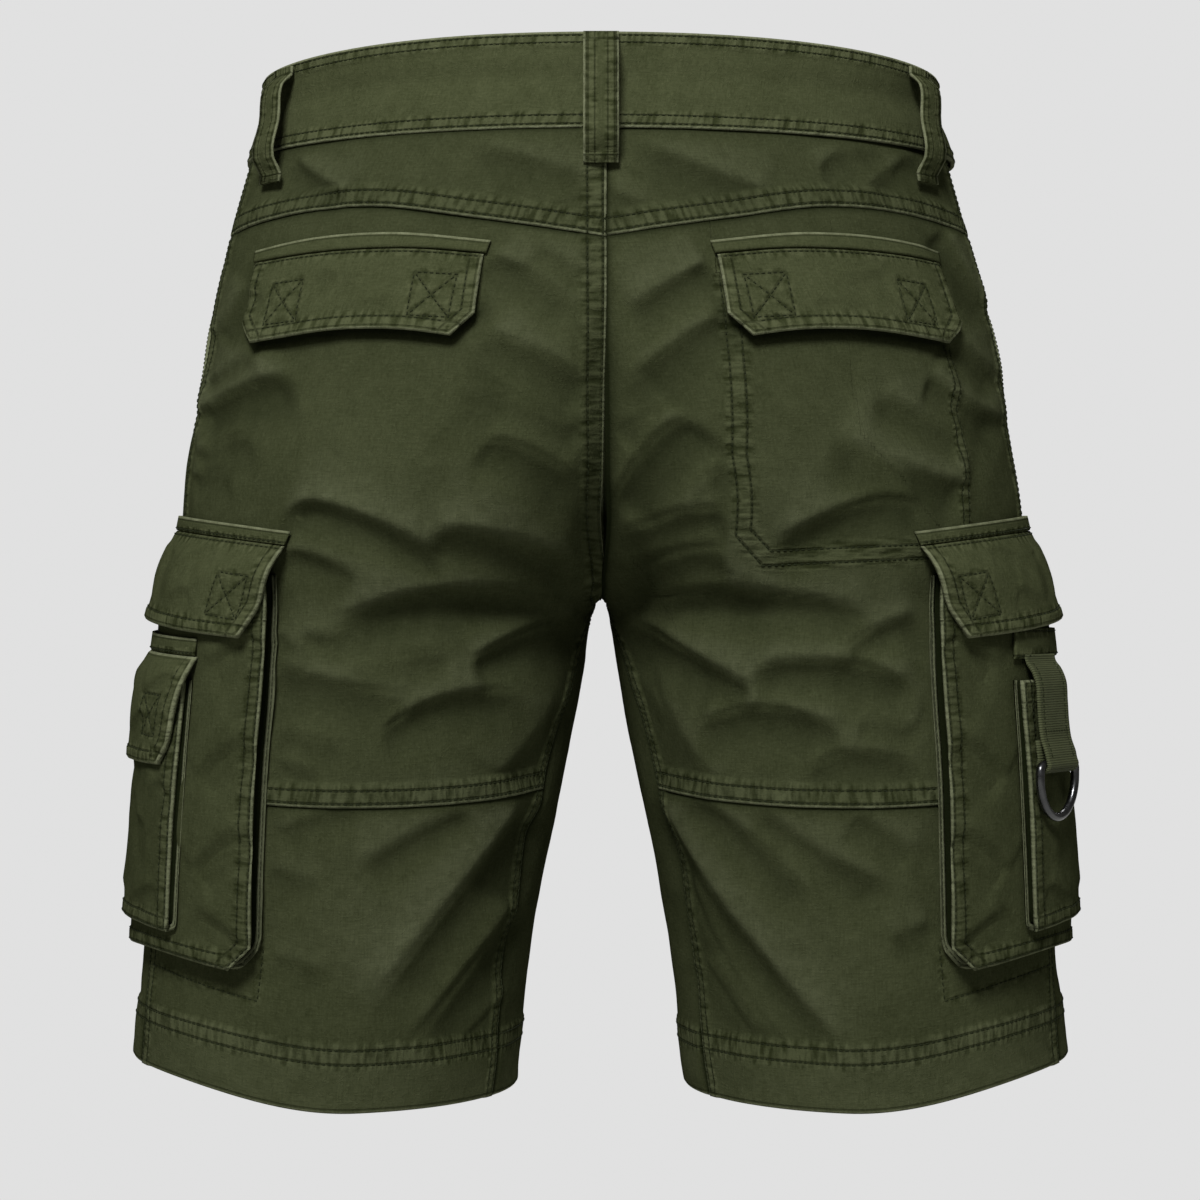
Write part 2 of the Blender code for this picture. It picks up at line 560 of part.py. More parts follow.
def add_loop(loop):
    """A belt loop: a strip that stands clear of the waistband between its sewn ends."""
    sewn = LOOP_WALL + 0.5
    path = np.array([
        Turn(loop.top, sewn), Turn(loop.top - 4.0, sewn), Turn(loop.top - 10.0, LOOP_LIFT - 0.8),
        Turn(-8.0, LOOP_LIFT), Turn(loop.bottom + 12.0, LOOP_LIFT - 0.2),
        Turn(loop.bottom + 5.0, sewn + 0.3), Turn(loop.bottom, sewn),
    ])
    z, lift = path[:, :1], path[:, 1:]
    across = np.linspace(-0.5, 0.5, 3) * loop.width
    if loop.top_girth is None:
        points = cloth(1, z + 0 * across, math.pi / 2, lift, folded=0.0)
        points[..., 0] = -across
    else:
        run = (loop.top - z) / (loop.top - loop.bottom)
        girth = loop.top_girth + (loop.foot_girth - loop.top_girth) * run + across
        points = cloth(loop.side, z, angle_at(z, girth), lift, folded=0.0)
    add_strip(loop.name, points, LOOP_WALL, COTTON_TRIM, flip=loop.side > 0)


def add_gusset(name, side, bends, step, under, over):
    """A strip on edge between a panel or pocket beneath it and the pocket's face above it."""
    bends = np.array(bends, float)
    runs = np.hypot(*np.diff(bends, axis=0).T)
    at = np.concatenate([[0.0], np.cumsum(runs)])
    places = [at[:1]]
    for first, last in zip(at[:-1], at[1:]):
        places.append(np.linspace(first, last, max(1, round((last - first) / step)) + 1)[1:])
    places = np.concatenate(places)
    girth, z = np.interp(places, at, bends[:, 0]), np.interp(places, at, bends[:, 1])
    foot = REST_GAP + (lift_in(under, girth, z) if under else 0 * z)
    head = lift_in(over, girth, z) - WALL - REST_GAP
    lift = between(foot, head, 3)
    z, girth = z[:, None] + 0 * lift, girth[:, None] + 0 * lift
    points = cloth(side, z, angle_at(z, girth), lift, fold_share(lift))
    add_strip(name, points, WALL, COTTON, flip=side < 0)


def add_pockets(word, side):
    """Back pocket, cargo pocket and the small pocket on it."""
    add_patch("back_welt_" + word, side, BACK_WELT, 11, 1, finish=COTTON_TRIM)
    add_patch("back_flap_" + word, side, BACK_FLAP, 11, 1, wall=FLAP_WALL)
    add_patch("cargo_band_" + word, side, CARGO_BAND, 15, 1, finish=COTTON_TRIM)
    add_patch("cargo_flap_" + word, side, CARGO_FLAP, 15, 2, wall=FLAP_WALL)
    add_patch("cargo_face_" + word, side, CARGO_FACE, 15, 2)
    add_gusset("cargo_gusset_" + word, side, CARGO_GUSSET, 16.0, None, CARGO_FACE)
    add_patch("small_face_" + word, side, SMALL_FACE, 9, 3)
    add_gusset("small_gusset_" + word, side, SMALL_GUSSET, 16.0, CARGO_FACE, SMALL_FACE)


def bar_frame(side):
    """Middle of the ring's straight side in millimetres, and its directions along and outwards."""
    angle = angle_at(BAR.z, STRAP_GIRTH)
    middle = cloth(side, BAR.z, angle, BAR.lift, folded=0.0)
    out = outwards(BAR.z, angle) * (side, 1.0)
    return middle, np.array([out[1], -out[0], 0.0]), np.array([out[0], out[1], 0.0])


def add_strap(name, side):
    """The webbing: down from its band, round the ring's straight side and up behind itself."""
    middle, along, out = bar_frame(side)
    radius = RING_WIRE / 2 + RING_PLAY + STRAP_WALL
    turn = np.radians(np.arange(30.0, -211.0, -30.0))
    path = [(t.z, t.lift - BAR.lift) for t in STRAP_FRONT]
    path += [(BAR.z + radius * math.sin(a), radius * math.cos(a)) for a in turn]
    path += [(t.z, t.lift - BAR.lift) for t in STRAP_BACK]
    across = np.linspace(-0.5, 0.5, 3) * STRAP_WIDTH
    rows = []
    for z, off in path:
        leg_shift = cloth(side, z, angle_at(z, STRAP_GIRTH), BAR.lift, folded=0.0) - middle
        leg_shift = min(0.0, leg_shift @ out) if z > BAR.z else 0.0
        centre = middle + out * (off + leg_shift) + (0, 0, z - BAR.z)
        rows.append([centre + along * step for step in across])
    add_strip(name, np.array(rows), STRAP_WALL, WEBBING, flip=False)


def add_ring(name, side):
    """The D-ring: its straight side lies in the strap's loop, and its origin is on that side."""
    half = RING_WIDTH / 2
    corner = np.radians(np.linspace(90, 0, 4))
    bow = np.radians(np.linspace(0, -180, 19))
    low = RING_CORNER + 3.0  # where the bow starts below the straight side
    right = [(half - RING_CORNER * (1 - math.cos(a)), -RING_CORNER * (1 - math.sin(a))) for a in corner]
    left = [(-x, z) for x, z in right[::-1]]
    curve_points = [(half * math.cos(a), -low + (RING_DROP - low) * math.sin(a)) for a in bow]
    outline = right + curve_points + left
    middle, along, _ = bar_frame(side)
    curve = bpy.data.curves.new(name, "CURVE")
    curve.dimensions = "3D"
    curve.bevel_depth = RING_WIRE / 2 * MM
    curve.bevel_resolution = 2
    spline = curve.splines.new("POLY")
    spline.points.add(len(outline) - 1)
    for point, (x, z) in zip(spline.points, outline):
        point.co = (x * MM, 0.0, z * MM, 1.0)
    spline.use_cyclic_u = True
    ring = add_object(name, curve, METAL)
    heading = math.atan2(along[1], along[0])
    ring.matrix_world = Matrix.Translation([v * MM for v in middle]) @ Matrix.Rotation(heading, 4, "Z")


def main():
    for old in list(bpy.data.objects):
        bpy.data.objects.remove(old)
    collection = bpy.data.collections.new("cargo_shorts")
    bpy.context.scene.collection.children.link(collection)
    add_waistband()
    for word, side in SIDES:
        add_back(word, side)
        add_front(word, side)
        add_pockets(word, side)
    add_fly()
    add_button()
    for loop in LOOPS:
        add_loop(loop)
    add_patch("small_band_left", 1, SMALL_BAND, 9, 1, finish=COTTON_TRIM)
    add_patch("small_flap_left", 1, SMALL_FLAP, 9, 1, wall=FLAP_WALL)
    add_patch("strap_band_right", -1, STRAP_BAND, 9, 1, finish=COTTON_TRIM)
    add_strap("strap_right", -1)
    add_ring("d_ring_right", -1)


if __name__ == "__main__":
    main()
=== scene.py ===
"""Cargo shorts, dressed: cloth with its folds and seams, stitches, webbing, ring, button and studio.

Lengths are in millimetres in the tables and methods, and turn into metres when a mesh is made.
A point of the cloth is given by its girth, which is the distance along the cloth from the outermost
line of the leg, positive towards the back, and by its height z. Side +1 is the wearer's left.
"""

import logging
import math
from dataclasses import dataclass, field
from enum import Enum
from typing import Callable, NamedTuple, Sequence

import bpy
import numpy as np
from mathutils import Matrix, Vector
from mathutils.bvhtree import BVHTree


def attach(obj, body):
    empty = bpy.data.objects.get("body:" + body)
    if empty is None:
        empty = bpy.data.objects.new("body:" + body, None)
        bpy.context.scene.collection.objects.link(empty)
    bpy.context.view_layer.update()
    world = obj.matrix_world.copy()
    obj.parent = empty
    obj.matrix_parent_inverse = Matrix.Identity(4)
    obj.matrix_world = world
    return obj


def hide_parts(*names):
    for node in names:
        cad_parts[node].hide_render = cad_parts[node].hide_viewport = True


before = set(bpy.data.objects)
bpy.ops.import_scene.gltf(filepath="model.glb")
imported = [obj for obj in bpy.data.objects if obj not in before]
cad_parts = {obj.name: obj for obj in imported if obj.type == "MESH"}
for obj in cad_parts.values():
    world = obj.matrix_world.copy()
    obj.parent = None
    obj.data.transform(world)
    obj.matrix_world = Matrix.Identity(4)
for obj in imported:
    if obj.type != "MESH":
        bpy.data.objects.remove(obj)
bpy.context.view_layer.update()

log = logging.getLogger("cargo_shorts")
MM = 0.001
Array = np.ndarray
AngleAt = Callable[[Array], Array]
Material, Object, Socket = bpy.types.Material, bpy.types.Object, bpy.types.NodeSocket


class Side(Enum):
    """A side of the wearer, with the sign of its x."""

    LEFT = 1
    RIGHT = -1

    @property
    def word(self) -> str:
        """The side's name, as in the pieces' names."""
        return self.name.lower()


# ---------- the figure


def curve_through(at: Array, knots: Sequence[float], values: Sequence[float]) -> Array:
    """Values on a smooth curve through rising knots.

    Args:
        at: Places to read.
        knots: Rising places of the knots.
        values: Values at the knots.

    Returns:
        The curve's values at the places, held level past the end knots.
    """
    knots, values = np.asarray(knots, float), np.asarray(values, float)
    steps = np.diff(knots)
    slopes = np.diff(values) / steps
    inner = (slopes[:-1] * steps[1:] + slopes[1:] * steps[:-1]) / (steps[:-1] + steps[1:])
    tangents = np.concatenate([slopes[:1], inner, slopes[-1:]])
    at = np.clip(np.asarray(at, float), knots[0], knots[-1])
    low = np.clip(np.searchsorted(knots, at) - 1, 0, len(steps) - 1)
    step = steps[low]
    t = (at - knots[low]) / step
    from_low = (1 + 2 * t) * (1 - t) ** 2 * values[low] + t * (1 - t) ** 2 * step * tangents[low]
    from_high = t * t * (3 - 2 * t) * values[low + 1] + t * t * (t - 1) * step * tangents[low + 1]
    return from_low + from_high


def read(points: Sequence[tuple[float, float]], at: Array) -> Array:
    """Values along a table of places and their values."""
    return curve_through(at, *zip(*points))


def ease(value: Array) -> Array:
    """A smooth step from 0 to 1."""
    t = np.clip(value, 0, 1)
    return t * t * (3 - 2 * t)


class Figure:
    """The general figure under the cloth, and where its seams run.

    The sections are levels of one side: an ellipse from x_in to x_out, its depths on the back and the
    front, and how much lower the inside of the leg lies. The seams are tables by height, but for the
    yoke's, which goes by the share of the way from the side seam to the centre.
    """

    rim, rim_dip = 26.3, 4.5
    waist_bottom, crotch, hem = -22.0, -254.0, -497.0
    facing_bottom, facing_top_girth = -140.0, -52.0
    sag_reach = 0.62
    blunt, blunt_give, blunt_drop = 4.3, 0.15, 2.2  # half the crotch's gap, its rounding and depth
    knee_height, knee_bow = -352.0, 6.0
    columns = ("z", "x_out", "x_in", "y_back", "y_front", "sink")
    sections = np.array((
        (26, 180, -180, 113, 105, 0),
        (0, 183, -183, 117, 109, 0),
        (-22, 187, -187, 120, 112, 0),
        (-50, 194.5, -185, 124.5, 116, 0),
        (-77, 201.5, -177, 128, 119, 0),
        (-110, 209.3, -157, 132, 121, 0),
        (-142, 215, -131, 135, 120, 0),
        (-175, 220.6, -100, 135.5, 117, 0),
        (-207, 225.4, -64, 131.5, 113, 0),
        (-230, 227.6, -34, 124, 110, 0),
        (-245, 228.9, -13, 117.5, 108, 0),
        (-254, 229.7, 0, 113.5, 107, 0),
        (-259, 230.2, 4, 112, 106.5, 0),
        (-270, 231.1, 6.5, 110.8, 105.7, 0),
        (-293, 233, 9.8, 108.5, 104, 0),
        (-354, 238.2, 20.9, 104.5, 100, 0),
        (-400, 242, 31.2, 100.5, 96, 5.6),
        (-444, 245.4, 39, 97, 93, 11.2),
        (-480, 248.6, 43, 95, 91, 15.8),
        (-497, 250.2, 45.5, 94.5, 90.5, 17.4),
    ))[::-1]
    lean = ((-497, 0.4), (-400, -0.4), (-325, -2), (-215, -2.4), (-175, -0.4), (-140, -1.5),
            (-88, 1.7), (-20, 2), (5, 0))
    side_seam = ((-497, 44), (-22, 30))
    # in degrees
    inseam = ((-500, 152), (-420, 155), (-340, 157.5), (-308, 162), (-277, 170.5), (-254, 180))
    yoke_seam = ((0, -63.5), (0.24, -60), (0.4, -58.3), (0.55, -59.2), (0.75, -66.9), (1, -77.2))
    abscissae, weights = np.polynomial.legendre.leggauss(8)

    def level(self, name: str, z: Array) -> Array:
        """One column of the sections at the heights z."""
        return curve_through(z, self.sections[:, 0], self.sections[:, self.columns.index(name)])

    def ellipse(self, z: Array, angle: Array) -> tuple[Array, Array, Array]:
        """Centre x, half-width and depth of the levels, on the face that the angle points to."""
        x_out, x_in = self.level("x_out", z), self.level("x_in", z)
        depth = np.where(np.sin(angle) >= 0, self.level("y_back", z), self.level("y_front", z))
        return (x_out + x_in) / 2, (x_out - x_in) / 2, depth

    def outwards(self, z: Array, angle: Array) -> Array:
        """Unit vectors out of the cloth, level with the ground, before the side's sign."""
        _, width, depth = self.ellipse(z, angle)
        out = np.stack([np.cos(angle) / width, np.sin(angle) / depth], axis=-1)
        return out / np.linalg.norm(out, axis=-1, keepdims=True)

    def place(self, side: int, z: Array, angle: Array, lift: Array) -> Array:
        """Points of the cloth on one side, off the figure by lift."""
        z, angle, lift = np.broadcast_arrays(np.asarray(z, float), angle, lift)
        centre, width, depth = self.ellipse(z, angle)
        x, y = centre + width * np.cos(angle), depth * np.sin(angle)
        least = self.blunt * ease((self.crotch - 0.2 - z) / self.blunt_drop)
        x = np.where((z < self.crotch) & (x < least), least + self.blunt_give * (x - least), x)
        out = self.outwards(z, angle)
        inwards = np.clip((1 - np.cos(angle)) / 2 / self.sag_reach, 0, 1)
        drop = self.level("sink", z) * np.sin(math.pi / 2 * inwards) ** 2
        if side > 0:
            x = x * (1 + read(self.lean, z) / self.level("x_out", z))
        return np.stack([side * (x + out[..., 0] * lift), y + out[..., 1] * lift, z - drop], axis=-1)

    def arc(self, z: Array, angle: Array) -> Array:
        """Girth at an angle of the levels."""
        z, angle = np.broadcast_arrays(np.asarray(z, float), np.asarray(angle, float))
        _, width, depth = self.ellipse(z, angle)
        part = angle[..., None] * (self.abscissae + 1) / 2
        speed = np.hypot(width[..., None] * np.sin(part), depth[..., None] * np.cos(part))
        return angle * (speed * self.weights / 2).sum(axis=-1)

    def angle_at(self, z: Array, girth: Array) -> Array:
        """Angle of the ellipse at a girth, by Newton's method."""
        z, girth = np.broadcast_arrays(np.asarray(z, float), np.asarray(girth, float))
        angle = girth / self.ellipse(z, girth)[1]
        for _ in range(6):
            _, width, depth = self.ellipse(z, angle)
            speed = np.hypot(width * np.sin(angle), depth * np.cos(angle))
            angle = angle - (self.arc(z, angle) - girth) / speed
        return angle

    def side_angle(self, z: Array) -> Array:
        """Angle of the side seam."""
        return self.angle_at(z, read(self.side_seam, z))

    def inseam_angle(self, z: Array) -> Array:
        """Angle of the inseam."""
        return np.radians(read(self.inseam, z))

    def slant_angle(self, z: Array) -> Array:
        """Angle of the slanted pocket's edge, from the waistband to the side seam."""
        fall = self.waist_bottom - np.asarray(z, float)
        share = np.clip(fall / (self.waist_bottom - self.facing_bottom), 0, 1)
        top = self.angle_at(self.waist_bottom, self.facing_top_girth)
        return top + (self.side_angle(z) - top) * share

    def knee(self, share: Array) -> Array:
        """Height of the knee seam, from the side seam (0) to the inseam (1)."""
        return self.knee_height - self.knee_bow * np.sin(math.pi * share) - 2.0 * share

    def rim_at(self, angle: Array) -> Array:
        """Height of the waistband's upper edge."""
        return self.rim - self.rim_dip * np.abs(np.cos(angle)) ** 3


FIGURE = Figure()


# ---------- folds


class Crease(NamedTuple):
    """A fold, from its crisp end to its soft one, by x and z, or by girth and z on a pocket.

    Its trough is width wide at the crisp end and wide at the soft one, and depth deep. It is bowed up
    by bow, most at the share peak of its length. The cloth above it turns under sharply, and the cloth
    below it comes out again slowly.
    """

    x0: float
    z0: float
    x1: float
    z1: float
    width: float
    wide: float
    depth: float
    bow: float = 0.0
    peak: float = 0.5


BACK_CREASES = tuple(Crease(*row) for row in (
    # the seat's and thigh's left side
    (163, -216, 66, -242, 6.4, 7.6, 6.7, 14, 0.22),
    (60, -178, 6, -204, 7.3, 10.8, 5.8, 7, 0.41), (87, -222, 6, -240, 8.2, 10.8, 7.3, 5, 0.43),
    (14, -256, 141, -271, 8.2, 10.5, 7.9, 12, 0.51), (150, -272, 123, -275, 5.5, 5.8, 3.3),
    (68, -288, 6, -264, 7.3, 10.8, 7, 4), (91, -304, 166, -288, 8.9, 9.9, 4.8, -2, 0.56),
    (113, -324, 31, -305, 6.4, 10.5, 5.9, 11, 0.47),
    (161, -232, 117, -244, 5.5, 5.8, 3.7, 3, 0.35), (163, -271, 141, -285, 4.6, 4.8, 2.1),
    (73, -280, 130, -283, 7.3, 9.5, 3, -2, 0.46), (55, -346, 18, -298, 8.2, 13.2, 3.1, -6, 0.4),
    (163, -336, 139, -343, 4.6, 5.8, 2.1), (163, -321, 123, -329, 5.5, 7.6, 2.1),
    # the left hip and yoke
    (158, -28, 123, -52, 5.5, 6.6, 3.4, -3, 0.52), (1, -50, 69, -28, 6.4, 8.5, 3.1, 0, 0.49),
    (29, -63, 6, -57, 5.5, 5.8, 2.3), (55, -86, 9, -119, 5.5, 7.6, 4, 4, 0.52),
    (5, -98, 33, -79, 5.5, 7.6, 2.5), (4, -151, 60, -124, 8.2, 10.5, 5.4, 2, 0.56),
    (4, -172, 64, -139, 8.2, 11.4, 4, -5, 0.56), (212, -161, 153, -142, 7.3, 9.5, 7.7, 3, 0.41),
    (208, -142, 174, -128, 4.6, 6.6, 3.4), (202, -119, 179, -92, 5.5, 6.6, 4.1),
    (211, -180, 175, -169, 5.5, 8.5, 3.7), (213, -192, 186, -187, 4.6, 7.6, 2.5),
    # the lower left leg
    (66, -360, 126, -393, 6.4, 8.5, 4.3, 2, 0.48), (35, -357, 121, -468, 10.2, 13.8, 7.7),
    (40, -412, 98, -484, 9.1, 13.8, 7.9), (164, -373, 121, -359, 4.6, 5.8, 2.1, 2, 0.37),
    (70, -484, 42, -458, 6.4, 7.6, 3), (167, -390, 139, -400, 5.5, 8.5, 2.1),
    (166, -434, 134, -444, 5.5, 8.5, 2.1),
    # the seat's and thigh's right side
    (-47, -166, -5, -211, 10.2, 10.8, 7.8, 7, 0.34), (-24, -156, -4, -173, 6.4, 7.6, 3.4),
    (-62, -212, -4, -227, 8.2, 10.8, 6.7, 5, 0.42), (-63, -189, -38, -204, 6.4, 7.6, 3),
    (-64, -230, -5, -244, 9.1, 10.8, 6.1, 4, 0.44),
    (-164, -210, -80, -232, 8.2, 8.5, 6.6, 11, 0.33),
    (-17, -259, -140, -263, 9.1, 8.5, 5.9, 9, 0.38), (-87, -254, -47, -239, 9.1, 13.2, 5.8),
    (-81, -302, -6, -262, 7.3, 10.8, 6.8, 0, 0.39),
    (-120, -280, -162, -263, 6.4, 8.5, 5.6, 3, 0.46),
    (-75, -290, -160, -301, 8.2, 8.5, 6.4, 9, 0.58),
    (-47, -322, -125, -324, 8.2, 8.5, 5.9, 13, 0.42), (-128, -314, -161, -320, 5.5, 6.6, 3.3),
    (-101, -343, -163, -340, 7.3, 8.5, 4.1, 10, 0.37),
    (-61, -351, -17, -278, 8.2, 13.2, 2.9, -5, 0.43),
    # the right hip and yoke
    (-85, -55, -14, -29, 6.4, 8.5, 4, -1, 0.46), (0, -53, -24, -63, 5.5, 6.6, 2.9),
    (-108, -43, -143, -22, 6.4, 8.5, 3.4, 5, 0.4), (-161, -24, -133, -50, 5.5, 6.6, 3.3),
    (-54, -89, -9, -117, 6.4, 8.5, 5.3, 0, 0.44),
    (-64, -116, -5, -160, 7.3, 10.5, 5.2, 4, 0.35),
    (-175, -63, -208, -111, 5.5, 7.6, 4.4, -2, 0.58), (-175, -118, -212, -144, 5.5, 7.6, 4.4),
    (-164, -140, -215, -164, 6.4, 8.5, 5.1, -4, 0.44),
    (-188, -199, -111, -173, 9.1, 11.4, 5.9, -4, 0.51), (-187, -175, -134, -151, 6.4, 8.5, 4.3),
    # the lower right leg
    (-45, -355, -111, -412, 6.4, 8.5, 4.4, 4, 0.36),
    (-77, -357, -153, -403, 6.4, 7.6, 4, -4, 0.41),
    (-27, -353, -127, -488, 7.3, 9.5, 6.4, -7, 0.39),
    (-42, -396, -101, -491, 6.4, 8.5, 4, -7, 0.46), (-50, -441, -79, -484, 5.5, 7.6, 3.4),
    (-127, -361, -160, -384, 6.4, 8.5, 3.4), (-166, -418, -143, -426, 5.5, 7.6, 2.5),
))
FRONT_CREASES = tuple(Crease(*row) for row in (
    (5, -256, 92, -302, 6, 12, 4.4, 3), (8, -232, 100, -222, 6, 11, 4, 7),
    (74, -166, 8, -196, 6, 11, 3.2, -3), (12, -284, 74, -344, 7, 13, 2.8, 2),
    (168, -262, 104, -284, 5, 9, 3, 4), (150, -318, 84, -336, 7, 10, 2.4, 5),
    (176, -172, 132, -150, 6, 10, 2.2, 2), (60, -388, 142, -456, 12, 17, 2.8, -4),
    (-5, -256, -96, -298, 6, 12, 4.4, 4), (-8, -229, -90, -226, 6, 11, 4, 7),
    (-80, -158, -8, -198, 6, 11, 3.2, -3), (-12, -288, -70, -340, 7, 13, 2.8, 2),
    (-166, -268, -98, -280, 5, 9, 3, 4), (-154, -326, -78, -334, 7, 10, 2.4, 5),
    (-180, -166, -128, -152, 6, 10, 2.2, 2), (-56, -392, -148, -452, 12, 17, 2.8, -4),
))
POCKET_CREASES = {
    "back_flap": (
        (122, -92, 156, -99, 5, 8, 1.4, 1), (172, -108, 140, -112, 4, 7, 1.1, 1),
    ),
    "cargo_flap": (
        (98, -229, 62, -240, 4, 6, 2.1, 3), (86, -249, 58, -260, 4, 7, 1.8, 2),
        (50, -228, 42, -258, 4, 6, 2, 2), (22, -225, 33, -252, 4, 6, 1.8, 2),
        (-14, -226, -30, -254, 4, 6, 1.8, 2), (-60, -226, -40, -244, 4, 6, 1.8, 2),
    ),
    "cargo_face": (
        (126, -272, 94, -292, 5, 8, 3.4, 3, 0.4), (95, -346, 124, -322, 7, 9, 3.4, 2),
        (95, -392, 126, -366, 7, 9, 3.6, 2), (124, -424, 94, -408, 5, 8, 2.8, 2),
        (-30, -296, -66, -328, 6, 9, 3.1, 3), (-30, -378, -62, -408, 6, 9, 2.8, 3),
    ),
    "small_face": (
        (74, -345, 50, -380, 5, 8, 3.1, 3), (40, -352, 66, -394, 5, 8, 2.8, 3),
        (74, -400, 48, -412, 4, 6, 2.1, 1), (22, -330, -4, -372, 5, 8, 2.8, 3),
        (-6, -396, 24, -410, 4, 6, 2.1, 1),
    ),
    "small_flap": (
        (82, -292, 52, -306, 4, 7, 2.2, 2), (60, -312, 28, -328, 4, 7, 2.1, 2),
        (24, -291, 0, -318, 4, 7, 2.1, 2),
    ),
}


class Crumple:
    """Smooth unevenness from a lattice of seeded values."""

    def __init__(self, seed: int) -> None:
        """Draws the lattice."""
        self.values = np.random.default_rng(seed).uniform(-1, 1, (64, 64))

    def at(self, across: Array, up: Array) -> Array:
        """Values from -1 to 1 at places counted in lattice cells."""
        low_a, low_u = np.floor(across).astype(int), np.floor(up).astype(int)
        part_a, part_u = ease(across - low_a), ease(up - low_u)
        corner = [self.values[(low_a + a) % 64, (low_u + u) % 64] for a in (0, 1) for u in (0, 1)]
        lower = corner[0] * (1 - part_a) + corner[2] * part_a
        upper = corner[1] * (1 - part_a) + corner[3] * part_a
        return lower * (1 - part_u) + upper * part_u


CRUMPLES = (Crumple(11), Crumple(12), Crumple(13))
SEAM_HOLD = 9.0  # how far from the centre seam the creases come to their full depth
CLEFT = 5.0  # how deep the seat sinks in along its centre seam


class Fold:
    """The form of every crease: across it in its widths, along it in shares of its length."""

    turn = 0.5  # how far above its line the cloth turns under
    crest, crest_fall = 0.5, 2.0  # the cloth above: its height, and over what it falls away
    trough, trough_fall = 1.5, 0.65  # the trough's wall, likewise
    level, rise = 0.8, 1.9  # how wide the trough is level, and over what it comes out again
    round, round_drop = 0.08, 0.28  # how the turn is rounded
    crisp = 0.13  # how soon it is full from its crisp end
    soft, softer, softest = 0.16, 0.25, 0.4  # how soon it fades towards its soft end


def relief(creases: Sequence[Crease], across: Array, up: Array, share: Array | float) -> Array:
    """How far creases move places of the cloth, outwards positive.

    Args:
        creases: The creases.
        across: The places' x, or their girth.
        up: Their heights.
        share: How much of the creases shows at each place.

    Returns:
        The movement in millimetres. Where creases meet, the deeper one rules.
    """
    crests, troughs = np.zeros_like(across), np.zeros_like(across)
    for crease in creases:
        run, rise = crease.x1 - crease.x0, crease.z1 - crease.z0
        length = math.hypot(run, rise)
        t = ((across - crease.x0) * run + (up - crease.z0) * rise) / length**2
        inside = np.clip(t, 0, 1)
        above = (up - crease.z0) * run - (across - crease.x0) * rise
        above = math.copysign(1 / length, run) * above
        off_peak = (inside - crease.peak) / np.where(inside < crease.peak, crease.peak, 1 - crease.peak)
        above = above - crease.bow * (1 - off_peak**2)
        above = above / (crease.width + (crease.wide - crease.width) * inside)
        fading = min(Fold.soft + Fold.softer * (crease.wide / crease.width - 1), Fold.softest)
        depth = crease.depth * share * ease(t / Fold.crisp) * ease((1 - t) / fading)
        above = above - Fold.turn
        away = np.sqrt(above**2 + Fold.round) - Fold.round_drop
        dip = Fold.trough * np.exp(-away / Fold.trough_fall) - 1.0
        rising = np.exp(-((np.maximum(-above - Fold.level, 0) / Fold.rise) ** 2))
        crest = Fold.crest * np.exp(-away / Fold.crest_fall)
        moved = depth * np.where(above > 0, crest, dip * rising)
        crests += np.maximum(moved, 0) ** 3
        troughs += np.maximum(-moved, 0) ** 3
    return np.cbrt(crests) - np.cbrt(troughs)


def folds(points: Array) -> Array:
    """How far the listed creases move points of the cloth, outwards positive."""
    x, y, z = np.moveaxis(points, -1, 0)
    back, front = np.clip((y - 10) / 30, 0, 1), np.clip((-y - 10) / 30, 0, 1)
    moved = relief(BACK_CREASES, x, z, back) + relief(FRONT_CREASES, x, z, front)
    moved = moved * np.clip(np.abs(x) / SEAM_HOLD, 0, 1) * ease((Figure.waist_bottom - z) / 14)
    cleft = ease((-90 - z) / 70) * ease((z + 250) / 40) * ease(y / 30)
    return moved - CLEFT * np.exp(-np.abs(x / 24) ** 1.6) * cleft


def crumpled(side: int, girth: Array, z: Array) -> Array:
    """Low, uneven relief of washed cloth, in millimetres."""
    start = 23.7 * (side + 2)
    large = CRUMPLES[0].at(girth / 46 + start, z / 58 + start)
    middle = CRUMPLES[1].at(girth / 19 + z / 40 + start, z / 24 - girth / 90 + start)
    small = CRUMPLES[2].at(girth / 6.5 + start, z / 8 + start)
    return 1.5 * large + 0.6 * middle + 0.12 * small


# ---------- lines on the cloth


